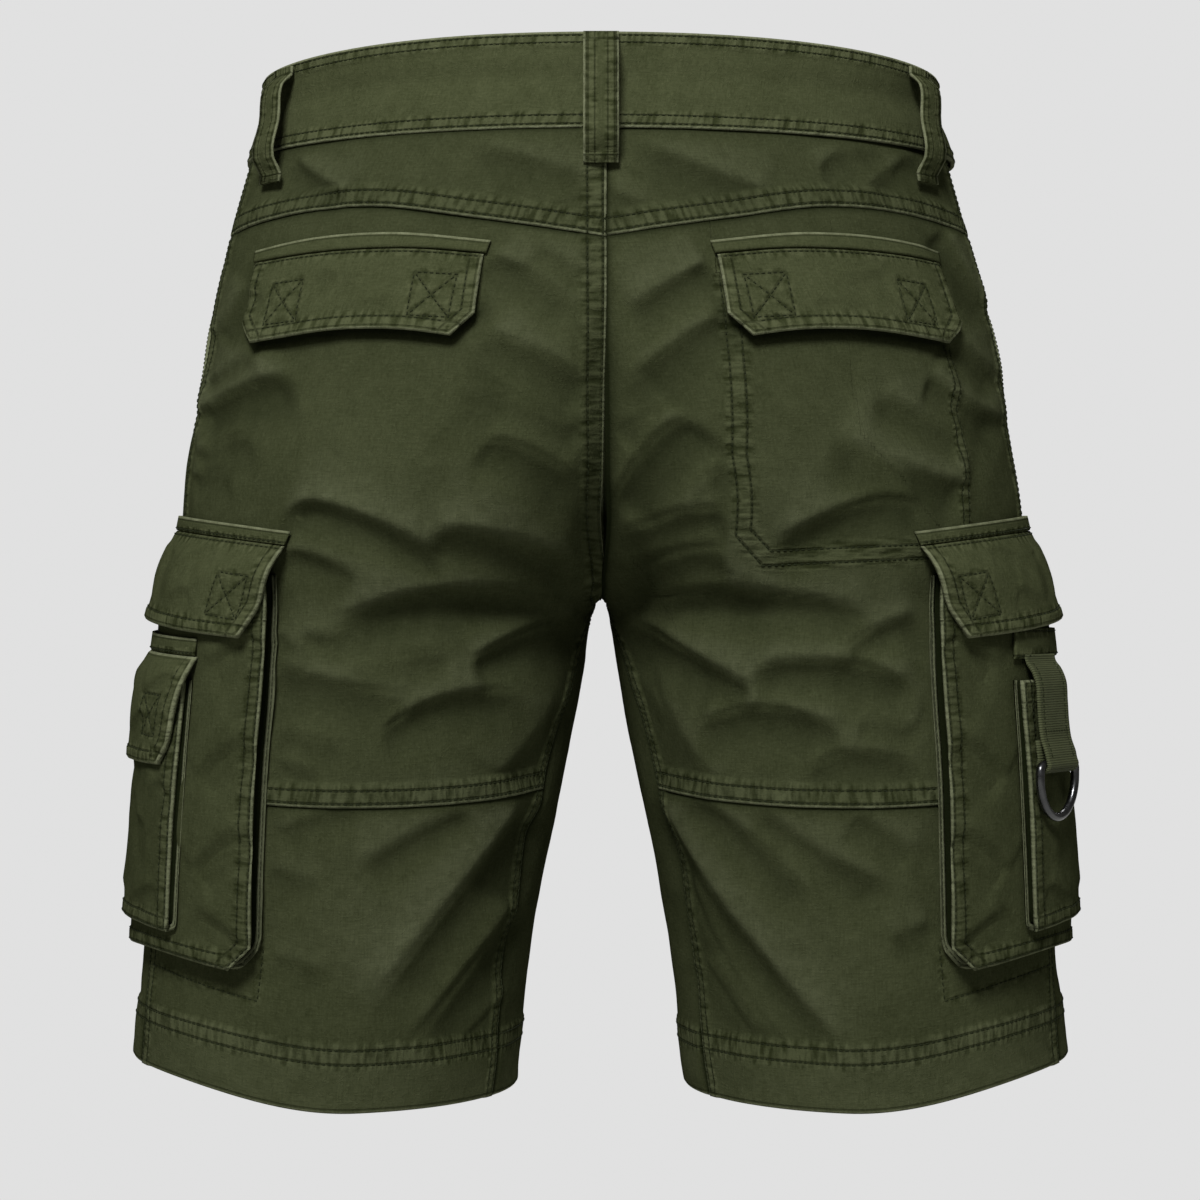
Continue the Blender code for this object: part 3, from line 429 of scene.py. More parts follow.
class Track:
    """A line on the cloth, by its corners' girth and height."""

    def __init__(self, points: Sequence[Sequence[float]]) -> None:
        """Keeps the corners."""
        self.points = np.array(points, float)

    def distance(self, girth: Array, z: Array, signed: bool = False) -> Array:
        """Distance of places on the cloth from the line, signed: negative to the right of its run."""
        best = np.full(np.shape(girth), 1e6)
        for first, last in zip(self.points[:-1], self.points[1:]):
            run = last - first
            t = ((girth - first[0]) * run[0] + (z - first[1]) * run[1]) / (run @ run)
            t = np.clip(t, 0, 1)
            away = np.hypot(girth - first[0] - t * run[0], z - first[1] - t * run[1])
            if signed:
                left = run[0] * (z - first[1]) - run[1] * (girth - first[0])
                away = np.where(left < 0, -away, away)
            best = np.where(np.abs(away) < np.abs(best), away, best)
        return best

    def inset(self, amount: float) -> "Track":
        """The line moved to the left of its run, its corners mitred."""
        runs = np.diff(self.points, axis=0)
        runs /= np.linalg.norm(runs, axis=1, keepdims=True)
        left = np.stack([-runs[:, 1], runs[:, 0]], axis=1)
        before, after = np.vstack([left[:1], left]), np.vstack([left, left[-1:]])
        middle = before + after
        scale = 2.0 / np.maximum((middle**2).sum(axis=1, keepdims=True), 0.8)
        return Track(self.points + amount * middle * scale)

    def walk(self, pitch: float, skip: float) -> tuple[Array, Array]:
        """Even places along the line and the way it runs there.

        Args:
            pitch: Distance from one place to the next.
            skip: Length left out at its ends.

        Returns:
            Places and unit directions, each (count, 2).
        """
        runs = np.diff(self.points, axis=0)
        lengths = np.linalg.norm(runs, axis=1)
        at = np.concatenate([[0.0], np.cumsum(lengths)])
        long = at[-1] - 2 * skip
        count = max(1, round(long / pitch))
        places = skip + (np.arange(count) + 0.5) * long / count
        which = np.clip(np.searchsorted(at, places, side="right") - 1, 0, len(runs) - 1)
        ways = runs[which] / lengths[which, None]
        return self.points[which] + ways * (places - at[which])[:, None], ways


class Spread(NamedTuple):
    """The grid of a piece that follows the figure: angle, height and girth of its points."""

    angle: Array
    z: Array
    girth: Array

    def line(self, where: object) -> Track:
        """The line through some of its points."""
        return Track(np.stack([self.girth[where], self.z[where]], -1))


@dataclass(frozen=True)
class Finish:
    """How an edge is finished: its layers, the rows of stitches along it and its roll."""

    raised: float = 0.0  # how far the folded layers lift the cloth
    zone: float = 10.0  # how far in they reach
    rows: tuple[float, ...] = ()  # how far in each row of stitches is
    roll: float = 0.9
    fall: float = 3.0  # over what length the cloth falls back past the layers
    groove: float = 0.45
    skip: float = 1.0  # length without stitches at the ends of a row
    sunk: float = 0.0  # how far an edge lies under its neighbour
    within: bool = False  # True for rows within a piece: the track is then no edge
    faded: float = 0.0  # how much wear the whole of its layers shows
    hidden: bool = False  # True for an edge that joins its neighbour, and shows no rubbed lip
    dusk: float = 1.5  # how far the painted shade beside what lies over a sunk edge reaches
    dark: float = 0.85  # how deep that painted shade is

    def row_place(self, away: Array) -> Array:
        """A distance on the seam's own scale: two rows are at 2 and at 8, a single one is at 8."""
        if not self.rows:
            return np.abs(away) + 20.0
        if len(self.rows) == 1:
            return np.maximum(8.0 + away - self.rows[0], 3.3)
        return 2.0 + (away - self.rows[0]) * 6.0 / (self.rows[-1] - self.rows[0])


@dataclass
class Edge:
    """An edge of a piece. The piece lies to the left of the track's run."""

    track: Track
    finish: Finish
    upright: bool = True  # False for an edge that runs level


# A raw edge tucks under its neighbour, and gets a painted shade line where it comes out.
RAW = Finish(sunk=0.45, zone=2.5)
FELLED = Finish(raised=1.2, zone=9.4, rows=(1.9, 8.0))
TOP, FOOT = np.s_[0, ::4], np.s_[-1, ::4]  # a grid's first and last row


def graded(length: float, first: float, last: float, fine: float, coarse: float) -> Array:
    """Shares from 0 to 1, closer together in a zone at each end, 4m + 1 of them.

    Args:
        length: Length that the shares divide.
        first: Length of the fine zone at the start.
        last: Length of the fine zone at the end.
        fine: Step in the zones.
        coarse: Step between them.

    Returns:
        The rising shares.
    """
    at = np.linspace(0, length, 2000)
    inner = np.minimum(ease((at - first) / 8), ease((length - last - at) / 8))
    density = 1 / fine + (1 / coarse - 1 / fine) * inner
    total = np.concatenate([[0.0], np.cumsum((density[1:] + density[:-1]) / 2 * np.diff(at))])
    count = 4 * max(1, math.ceil(total[-1] / 4))
    return np.interp(np.linspace(0, total[-1], count + 1), total, at) / length


# ---------- meshes

COARSER = 4  # points of a shell's outer face to each one of its inner face
FAR = 99.0  # a border's value where no seam is near


def show(name: str, data: bpy.types.ID) -> Object:
    """An object in the scene."""
    thing = bpy.data.objects.new(name, data)
    bpy.context.scene.collection.objects.link(thing)
    return thing


def add_mesh(name: str, points: Array, faces: Sequence, finish: Material,
             uv: Array | None = None, border: Array | None = None,
             worn: Array | None = None) -> Object:
    """A smooth mesh object in the scene.

    Args:
        name: The object's name.
        points: Vertices in millimetres.
        faces: Vertex indices of each face.
        finish: Its material.
        uv: Girth and height of each vertex, in millimetres.
        border: Per vertex, places on the scales of the upright and the level seams, and distances
            to the inner rows of stitches and to the piece's finished edges.
        worn: How much wear each vertex shows, to 1, or how deep the painted shade on it is, to -1.

    Returns:
        The object.
    """
    mesh = bpy.data.meshes.new(name)
    mesh.from_pydata((points * MM).tolist(), [], faces)
    mesh.shade_smooth()
    count = len(points)
    if uv is not None:
        corners = np.empty(len(mesh.loops), np.int32)
        mesh.loops.foreach_get("vertex_index", corners)
        layer = mesh.uv_layers.new(name="cloth")
        layer.uv.foreach_set("vector", (uv * MM)[corners].astype(np.float32).ravel())
    border = np.full((count, 4), FAR) if border is None else border
    worn = np.zeros(count) if worn is None else worn
    # The worn attribute holds wear above 0 and painted shade below 0.
    for key, kind, part, values in (("border", "FLOAT_COLOR", "color", border),
                                    ("worn", "FLOAT", "value", worn)):
        made = mesh.attributes.new(key, kind, "POINT")
        made.data.foreach_set(part, values.astype(np.float32).ravel())
    mesh.materials.append(finish)
    return show(name, mesh)


def quads(at: Array) -> Array:
    """Corners of the faces of a grid of vertex indices."""
    return np.stack([at[:-1, :-1], at[:-1, 1:], at[1:, 1:], at[1:, :-1]], -1).reshape(-1, 4)


def shell_faces(rows: int, columns: int, flip: bool) -> list[tuple[int, ...]]:
    """Faces of a shell: a fine outer grid, a coarse inner grid after it, and the rim.

    Args:
        rows: Rows of the outer grid, a multiple of COARSER and one more.
        columns: Its columns, likewise.
        flip: True where rows and columns would make the outer faces point inwards.

    Returns:
        Vertex indices of each face.
    """
    grid = np.arange(rows * columns).reshape(rows, columns)
    high, wide = (rows - 1) // COARSER + 1, (columns - 1) // COARSER + 1
    inner = rows * columns + np.arange(high * wide).reshape(high, wide)
    outer, under = quads(grid), quads(inner)[:, ::-1]
    faces = [tuple(face) for face in np.concatenate([outer, under]).tolist()]
    borders = ((grid[0], inner[0]), (grid[:, -1], inner[:, -1]),
               (grid[-1, ::-1], inner[-1, ::-1]), (grid[::-1, 0], inner[::-1, 0]))
    for fine, coarse in borders:
        for index in range(len(coarse) - 1):
            along = fine[index * COARSER:(index + 1) * COARSER + 1].tolist()
            faces.append((*along[::-1], int(coarse[index]), int(coarse[index + 1])))
    return [face[::-1] for face in faces] if flip else faces


def add_shell(name: str, outer: Array, inner: Array, flip: bool, finish: Material,
              uv: Array, border: Array, worn: Array) -> Object:
    """A piece of cloth with a thickness.

    Args:
        name: The piece's name.
        outer: Grid of its outer face's points, in millimetres.
        inner: Grid of its inner face's points.
        flip: As for shell_faces.
        finish: Its material.
        uv: Girth and height of each point of the outer face, in millimetres.
        border: As for add_mesh, for each point of the outer face.
        worn: Likewise.

    Returns:
        The object.
    """
    points, uv, border, worn = [
        np.concatenate([part.reshape(-1, part.shape[-1])
                        for part in (fine, coarse[::COARSER, ::COARSER])])
        for fine, coarse in ((outer, inner), (uv, uv), (border, border), (worn[..., None],) * 2)]
    faces = shell_faces(*outer.shape[:2], flip)
    return add_mesh(name + "_cloth", points, faces, finish, uv, border, worn)


def tube_faces(rings: int, count: int, closed: bool, first: int = 0) -> list[tuple[int, ...]]:
    """Faces between rings of count vertices, from the vertex first on."""
    return [tuple(first + ring % rings * count + corner % count for ring, corner in
                  ((r, c), (r, c + 1), (r + 1, c + 1), (r + 1, c)))
            for r in range(rings if closed else rings - 1) for c in range(count)]


def measured(grid: Array) -> tuple[float, float, float]:
    """Longest row, longest column and area of a grid of points, in millimetres."""
    across = np.linalg.norm(np.diff(grid, axis=1), axis=-1)
    down = np.linalg.norm(np.diff(grid, axis=0), axis=-1)
    one = np.cross(grid[1:, :-1] - grid[:-1, :-1], grid[:-1, 1:] - grid[:-1, :-1])
    two = np.cross(grid[1:, :-1] - grid[1:, 1:], grid[:-1, 1:] - grid[1:, 1:])
    area = (np.linalg.norm(one, axis=-1) + np.linalg.norm(two, axis=-1)).sum() / 2
    return across.sum(axis=1).max(), down.sum(axis=0).max(), area


class Piece:
    """What every cut piece of cloth has: an object, and its flat sizes."""

    least_flat = 10.5  # a cut's least length, as it can be stated

    def declare(self, *rests_on: str, sewn: Sequence[Object] = ()) -> None:
        """Rides the piece on the shorts in place of its solid; its flat size is worked out but not
        used.

        Args:
            rests_on: The pieces that it hangs from; not used.
            sewn: The stitches that belong to it; not used.
        """
        width, length, area = self.sizes
        width, length = max(width, self.least_flat), max(length, self.least_flat)
        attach(self.thing, "shorts")
        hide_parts(self.name)
        area = min(area, width * length)


@dataclass
class Cloth(Piece):
    """A cut piece of cloth that follows the figure, as a shell on a grid of girths and heights."""

    name: str
    side: int
    girth: Array
    z: Array
    lift: Array
    edges: list[Edge]
    finish: Material
    wall: float = 1.6
    folded: Array | float = 1.0  # share of the folds that it takes part in
    crumple: float = 1.0
    rows: list[Track] = field(default_factory=list)  # rows of stitches away from the edges
    angle: Array | None = None
    shape: Array | float = 0.0  # extra relief of its own
    calm_share, calm_zone = 0.85, 9.0  # how flat seams hold the cloth, and how far in
    groove_width = 0.85
    row_groove, row_width = 0.3, 1.2
    # Fold crests get wear and fold troughs get painted shade, down to deepest_shade.
    crease_wear, deepest_shade = 0.09, -0.38

    def build(self) -> "Cloth":
        """Makes the mesh and the object."""
        angle = FIGURE.angle_at(self.z, self.girth) if self.angle is None else self.angle
        flat = FIGURE.place(self.side, self.z, angle, self.lift)
        creases = np.asarray(self.folded) * folds(flat)
        uneven = self.crumple * crumpled(self.side, self.girth, self.z)
        border = np.full((*self.z.shape, 4), FAR)
        raised, worn, calm = np.zeros_like(self.z), np.zeros_like(self.z), np.ones_like(self.z)
        nearest, shade = np.full((*self.z.shape, 2), 1e3), np.zeros_like(self.z)
        for edge in self.edges:
            style, which = edge.finish, 0 if edge.upright else 1
            away = edge.track.distance(self.girth, self.z, style.within)
            calm *= 1 - self.calm_share * (1 - ease(np.abs(away) / self.calm_zone))
            # A sunk edge lies under its neighbour: the cloth just past it is painted dark, a painted
            # shade.
            if style.sunk:
                raised = raised - style.sunk * (1 - ease((away - style.zone) / style.fall))
                beyond = np.maximum(away - style.zone - 0.4, 0)
                shade = np.maximum(shade, style.dark * np.exp(-beyond / style.dusk))
                continue
            for row in style.rows:
                raised = raised - style.groove * np.exp(-(((away - row) / self.groove_width) ** 2))
            closer = np.abs(away) < nearest[..., which]
            nearest[..., which] = np.where(closer, np.abs(away), nearest[..., which])
            border[..., which] = np.where(closer, style.row_place(away), border[..., which])
            if style.within:
                middle = sum(style.rows) / 2
                beyond = np.abs(away - middle) - middle
                raised = np.maximum(raised, style.raised * (1 - ease(beyond / style.fall)))
                continue
            layers = style.raised * (1 - ease((away - style.zone) / style.fall))
            raised = np.maximum(raised, layers)
            turn = np.clip(1 - away / style.roll, 0, 1)
            raised = raised - 0.75 * style.roll * (1 - np.sqrt(1 - turn**2))
            worn = np.maximum(worn, style.faded * (1 - ease((away - style.zone) / 2)))
            if not style.hidden:
                border[..., 3] = np.minimum(border[..., 3], away)
        for row in self.rows:
            away = row.distance(self.girth, self.z)
            raised = raised - self.row_groove * np.exp(-((away / self.row_width) ** 2))
            border[..., 2] = np.minimum(border[..., 2], away)
        off = self.lift + creases + uneven * calm
        self.outer = FIGURE.place(self.side, self.z, angle, off + raised + self.shape)
        inner = FIGURE.place(self.side, self.z, angle, off - self.wall)
        # Painted shade in the fold troughs, wear on the crests.
        worn = np.clip(worn + self.crease_wear * creases, self.deepest_shade, 1)
        # Painted shade beside the sunk edges darkens the colour.
        worn = np.minimum(worn, worn * (1 - shade) - shade)
        rising = (self.girth[:, -1] - self.girth[:, 0]).mean() > 0
        self.thing = add_shell(self.name, self.outer, inner, rising == (self.side > 0), self.finish,
                               np.stack([self.girth, self.z], axis=-1), border, worn)
        self.sizes = measured(flat)
        faces = quads(np.arange(self.z.size).reshape(self.z.shape))
        self.tree = BVHTree.FromPolygons(self.outer.reshape(-1, 3).tolist(), faces.tolist())
        return self

    def drop(self, places: Array) -> list[tuple[Vector, Vector] | None]:
        """Points of the outer face at places, and their normals. None where one misses the piece."""
        girth, z = places.T
        angle = FIGURE.angle_at(z, girth)
        above = FIGURE.place(self.side, z, angle, 60.0)
        ways = -FIGURE.outwards(z, angle) * (self.side, 1.0)
        found = []
        for start, (x, y) in zip(above.tolist(), ways.tolist()):
            way = Vector((x, y, 0.0))
            hit, normal, _, _ = self.tree.ray_cast(Vector(start), way, 120.0)
            if hit is not None and normal.dot(way) > 0:
                normal = -normal
            found.append(None if hit is None else (hit, normal))
        return found


class Stitching:
    """Rows of thread on the pieces of one sub-assembly, joined in one mesh."""

    sunk, proud, swell = 0.20, 0.08, 0.30  # depth of the tips, height and half-share of the belly

    def __init__(self, name: str, thread: Material) -> None:
        """Starts with no stitch."""
        self.name, self.thread = name, thread
        self.points: list[Array] = []

    def one(self, middle: Vector, along: Vector, normal: Vector, length: float, thick: float) -> None:
        """Adds one stitch: a spindle whose ends dip into the cloth."""
        along = (along - normal * along.dot(normal)).normalized()
        across = np.array(normal.cross(along))
        middle, along, normal = np.array(middle), np.array(along), np.array(normal)
        tips = [middle + along * (length / 2 * end) - normal * self.sunk for end in (-1, 1)]
        rings = []
        for end in (-1, 1):
            heart = middle + along * (length * self.swell * end) + normal * self.proud
            rings += [heart + across * thick, heart + normal * thick,
                      heart - across * thick, heart - normal * thick]
        self.points.append(np.array([tips[0], *rings, tips[1]]))

    def sew(self, cloth: Cloth, track: Track, pitch: float = 3.1, length: float = 2.4,
            thick: float = 0.34, skip: float = 1.0, turned: bool = False) -> None:
        """Sews a row along a track of a piece.

        Args:
            cloth: The piece that carries the row.
            track: Where it runs.
            pitch: Distance from stitch to stitch.
            length: A stitch's length.
            thick: The thread's radius.
            skip: Length left out at the track's ends.
            turned: True for stitches square to the track, as in a bar tack.
        """
        places, ways = track.walk(pitch, skip)
        for found, ahead in zip(cloth.drop(places), cloth.drop(places + 0.8 * ways)):
            if found is None or ahead is None:
                continue
            along = ahead[0] - found[0]
            if turned:
                along = found[1].cross(along)
            self.one(found[0], along, found[1], length, thick)

    def hem(self, cloth: Cloth, mitred: bool = False) -> None:
        """Sews all the rows of a piece. Mitred ones end where they meet at its corners."""
        for edge in cloth.edges:
            for row in edge.finish.rows:
                self.sew(cloth, edge.track.inset(row), skip=row if mitred else edge.finish.skip)
        for row in cloth.rows:
            self.sew(cloth, row)

    def make(self) -> Object:
        """Joins the stitches in one object that rides on the shorts."""
        tip, ring = 9, [(a, (a + 1) % 4) for a in range(4)]
        pattern = [(0, 1 + b, 1 + a) for a, b in ring]
        pattern += [(1 + a, 1 + b, 5 + b, 5 + a) for a, b in ring]
        pattern += [(tip, 5 + a, 5 + b) for a, b in ring]
        faces = [tuple(10 * index + corner for corner in face)
                 for index in range(len(self.points)) for face in pattern]
        thing = add_mesh(self.name, np.concatenate(self.points), faces, self.thread)
        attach(thing, "shorts")
        return thing


@dataclass
class Strip(Piece):
    """A bent or standing strip of cloth, from a fine grid of its outer face's points.

    Rows run along the strip and columns across it. Both counts are a multiple of 4 and one more.
    """

    name: str
    grid: Array
    wall: float
    finish: Material
    flip: bool = False
    turned_in: float = 1.0  # how round its long edges are
    rows: tuple[float, ...] = ()  # how far in from each long edge its rows of stitches are
    tacks: tuple[float, ...] = ()  # how far from each end its cross rows are
    shade: Array | float = 0.0  # painted shade of each column, to 1; below 0 the column is painted lighter, a painted highlight
    roll, groove, groove_width = 0.7, 0.3, 0.8

    def build(self) -> "Strip":
        """Makes the mesh and the object."""
        down = np.gradient(self.grid, axis=0)
        across = np.gradient(self.grid, axis=1)
        normal = np.cross(across, down) * (-1 if self.flip else 1)
        normal /= np.maximum(np.linalg.norm(normal, axis=-1, keepdims=True), 1e-9)
        self.u, self.v = [
            np.concatenate([[0.0], np.linalg.norm(np.diff(self.grid, axis=1 - axis), axis=-1)
                            .mean(axis=axis).cumsum()]) for axis in (0, 1)]
        away = np.minimum(self.u, self.u[-1] - self.u)
        turn = np.clip(1 - away / self.turned_in, 0, 1)
        off = -self.roll * self.turned_in * (1 - np.sqrt(1 - turn**2))
        for row in self.rows:
            off = off - self.groove * np.exp(-(((away - row) / self.groove_width) ** 2))
        self.outer = self.grid + normal * off[None, :, None]
        self.normal = normal
        border = np.full((*self.grid.shape[:2], 4), FAR)
        border[..., 0] = Finish(rows=self.rows).row_place(away)
        if self.tacks:
            ends = np.minimum(self.v, self.v[-1] - self.v)
            border[..., 1] = Finish(rows=self.tacks).row_place(ends)[:, None]
        border[..., 3] = np.where(self.shade > 0.05, FAR, away)
        worn = np.broadcast_to(np.negative(self.shade), self.grid.shape[:2])
        self.thing = add_shell(self.name, self.outer, self.grid - normal * self.wall, not self.flip,
                               self.finish, np.stack(np.meshgrid(self.u, self.v), -1), border, worn)
        self.sizes = measured(self.grid)
        return self

    def drop(self, places: Array) -> list[tuple[Vector, Vector] | None]:
        """Points of the outer face at places across and along the strip, and their normals."""
        found = []
        for u, v in places:
            if not (0 <= u <= self.u[-1] and 0 <= v <= self.v[-1]):
                found.append(None)
                continue
            column = np.interp(u, self.u, np.arange(len(self.u)))
            row = np.interp(v, self.v, np.arange(len(self.v)))
            low_c, low_r = min(int(column), len(self.u) - 2), min(int(row), len(self.v) - 2)
            part_c, part_r = column - low_c, row - low_r
            both = []
            for values in (self.outer, self.normal):
                block = values[low_r:low_r + 2, low_c:low_c + 2]
                line = block[0] * (1 - part_r) + block[1] * part_r
                both.append(Vector(line[0] * (1 - part_c) + line[1] * part_c))
            found.append((both[0], both[1].normalized()))
        return found


def resampled(rows: Array, spacing: float) -> Array:
    """Rows of points moved to even places along a smooth curve through them, 4m + 1 of them."""
    steps = np.linalg.norm(np.diff(rows[:, rows.shape[1] // 2], axis=0), axis=-1)
    at = np.concatenate([[0.0], np.cumsum(steps)])
    count = 4 * max(1, math.ceil(at[-1] / spacing / 4))
    places = np.linspace(0, at[-1], count + 1)
    flat = rows.reshape(len(rows), -1)
    made = np.stack([curve_through(places, at, flat[:, index]) for index in range(flat.shape[1])], -1)
    return made.reshape(count + 1, *rows.shape[1:])


def patch(knots: Array, spacing: float) -> tuple[Array, Array, Array]:
    """Girth, height and lift of the points of a patch.

    Args:
        knots: Its rows of knots, from the top down and each from the front towards the back: their
            girth, their height and how far the outer face stands off the panels there.
        spacing: Distance from point to point.

    Returns:
        Three grids, with 4m + 1 rows and columns.
    """
    across = 4 * math.ceil((knots[:, -1, 0] - knots[:, 0, 0]).max() / spacing / 4) + 1
    lines = []
    for known, z, lift in knots.transpose(0, 2, 1):
        girth = np.linspace(known[0], known[-1], across)
        lines.append((girth, curve_through(girth, known, z), curve_through(girth, known, lift)))
    lines = np.array(lines)
    falls = np.abs(np.diff(lines[:, 1].mean(axis=1)))
    counts = np.maximum(1, np.round(falls / spacing)).astype(int)
    counts[np.argmax(falls)] += -counts.sum() % 4
    at = np.concatenate([[0.0], *[index + (np.arange(count) + 1) / count
                                  for index, count in enumerate(counts)]])
    low = np.minimum(at.astype(int), len(knots) - 2)
    part = (at - low)[:, None, None]
    grid = lines[low] * (1 - part) + lines[low + 1] * part
    depth = np.concatenate([[0.0], np.cumsum(falls)])
    where = np.interp(at, np.arange(len(depth)), depth)
    lift = np.stack([curve_through(where, depth, lines[:, 2, column]) for column in range(across)], 1)
    return grid[:, 0], grid[:, 1], lift


def frame_of(knots: Array) -> dict[str, Track]:
    """The four edges of a patch, run with the patch to their left."""
    curves = []
    for known, z, _ in (knots[0].T, knots[-1].T):
        girth = np.linspace(known[0], known[-1], 17)
        curves.append(np.stack([girth, curve_through(girth, known, z)], -1))
    return {"top": Track(curves[0][::-1]), "foot": Track(curves[1]),
            "back": Track(knots[::-1, -1, :2]), "front": Track(knots[:, 0, :2])}


def lift_in(knots: Array, girth: Array, z: Array) -> Array:
    """Lift of a patch's outer face at places, from its knots."""
    levels = knots[::-1, 0, 1]
    by_row = np.array([np.interp(girth, known, lift) for known, _, lift in knots.transpose(0, 2, 1)])
    return np.array([np.interp(at, levels, column[::-1]) for at, column in zip(z, by_row.T)])


def fold_share(lift: Array) -> Array:
    """How much of the folds shows in a piece that stands off the panels."""
    return np.clip(1.5 - np.asarray(lift) / 8, 0, 1)


# ---------- finishes


class Nodes:
    """Adds and joins the nodes of one tree."""

    def __init__(self, tree: bpy.types.NodeTree) -> None:
        """Keeps the tree."""
        self.tree = tree

    def put(self, socket: Socket, value: object) -> None:
        """Links a socket to an output, or sets its own value."""
        if isinstance(value, Socket):
            self.tree.links.new(value, socket)
        else:
            socket.default_value = value

    def add(self, kind: str, values: dict | None = None, **settings: object) -> bpy.types.Node:
        """A node with its settings, and its inputs by name or number."""
        node = self.tree.nodes.new("ShaderNode" + kind)
        for name, value in settings.items():
            setattr(node, name, value)
        for name, value in (values or {}).items():
            self.put(node.inputs[name], value)
        return node

    def sum(self, operation: str, *values: object, clamp: bool = False) -> Socket:
        """A Math node's output."""
        made = self.add("Math", dict(enumerate(values)), operation=operation, use_clamp=clamp)
        return made.outputs[0]

    def spread(self, value: object, low: float, high: float, to_low: float,
               to_high: float) -> Socket:
        """A value mapped smoothly from one range to another."""
        made = self.add("MapRange", {0: value, 1: low, 2: high, 3: to_low, 4: to_high},
                        interpolation_type="SMOOTHSTEP")
        return made.outputs[0]

    def noise(self, vector: object, scale: float, detail: float = 2.0,
              stretch: tuple[float, float, float] | None = None) -> Socket:
        """A noise texture's value, its place stretched first."""
        if stretch:
            vector = self.add("VectorMath", {0: vector, 1: stretch}, operation="MULTIPLY").outputs[0]
        made = self.add("TexNoise", {"Vector": vector, "Scale": scale, "Detail": detail})
        return made.outputs[0]

    def blend(self, share: object, low: object, high: object) -> Socket:
        """A colour between two."""
        made = self.add("Mix", data_type="RGBA")
        for index, value in ((0, share), (6, low), (7, high)):
            self.put(made.inputs[index], value)
        return made.outputs[2]

    def ridges(self, at: object, rate: float = math.pi) -> Socket:
        """Rounded ridges side by side, one in each pi of the place times the rate."""
        return self.sum("ABSOLUTE", self.sum("SINE", self.sum("MULTIPLY", at, rate)))

    def gap(self, value: object, other: object) -> Socket:
        """How far two values are apart."""
        return self.sum("ABSOLUTE", self.sum("SUBTRACT", value, other))

    def heap(self, total: object, *parts: tuple[object, float, float]) -> Socket:
        """A total with parts added, each a value, the middle that it is taken from and its share."""
        for value, middle, share in parts:
            value = self.sum("SUBTRACT", value, middle) if middle else value
            total = self.sum("MULTIPLY_ADD", value, share, total)
        return total

    def effect(self, name: str, values: dict) -> bpy.types.NodeOutputs:
        """The outputs of a group of this part's, with its inputs set."""
        made = self.tree.nodes.new("ShaderNodeGroup")
        made.node_tree = bpy.data.node_groups[name]
        for key, value in values.items():
            self.put(made.inputs[key], value)
        return made.outputs


def new_effect(name: str, takes: dict[str, str], gives: Sequence[str]) -> tuple[Nodes, dict, object]:
    """An empty node group.

    Args:
        name: The group's name.
        takes: Kind of each input socket, by its name.
        gives: Names of the output values.

    Returns:
        Its nodes, its inputs by name, and the sockets of its outputs.
    """
    tree = bpy.data.node_groups.new(name, "ShaderNodeTree")
    for key, kind in takes.items():
        tree.interface.new_socket(key, in_out="INPUT", socket_type="NodeSocket" + kind)
    for key in gives:
        tree.interface.new_socket(key, in_out="OUTPUT", socket_type="NodeSocketFloat")
    start, end = tree.nodes.new("NodeGroupInput"), tree.nodes.new("NodeGroupOutput")
    return Nodes(tree), {key: start.outputs[key] for key in takes}, end.inputs


def make_weave() -> None:
    """The woven_threads group: twill threads and slubs, from a place in millimetres."""
    n, takes, gives = new_effect("woven_threads", {"Place": "Vector", "Pitch": "Float"},
                                 ("Height", "Slub"))
    scaled = n.add("VectorMath", {0: takes["Place"]}, operation="SCALE")
    n.put(scaled.inputs["Scale"], n.sum("DIVIDE", 1.0, takes["Pitch"]))
    apart = n.add("SeparateXYZ", {0: scaled.outputs[0]})
    across, up = apart.outputs[0], apart.outputs[1]
    warp, weft = n.ridges(across), n.ridges(up)
    step = n.sum("ADD", n.sum("FLOOR", across), n.sum("FLOOR", up))
    over = n.sum("GREATER_THAN", n.sum("FLOORED_MODULO", step, 3.0), 0.5)
    under = n.sum("SUBTRACT", 1.0, over)
    threads = n.sum("ADD", n.sum("MULTIPLY", warp, over), n.sum("MULTIPLY", weft, under))
    long_way = n.noise(takes["Place"], 1.0, 2.0, (1.3, 0.14, 1.0))
    cross_way = n.noise(takes["Place"], 1.0, 2.0, (0.14, 1.3, 1.0))
    n.put(gives["Height"], threads)
    n.put(gives["Slub"], n.sum("MULTIPLY", n.sum("ADD", long_way, cross_way), 0.5))


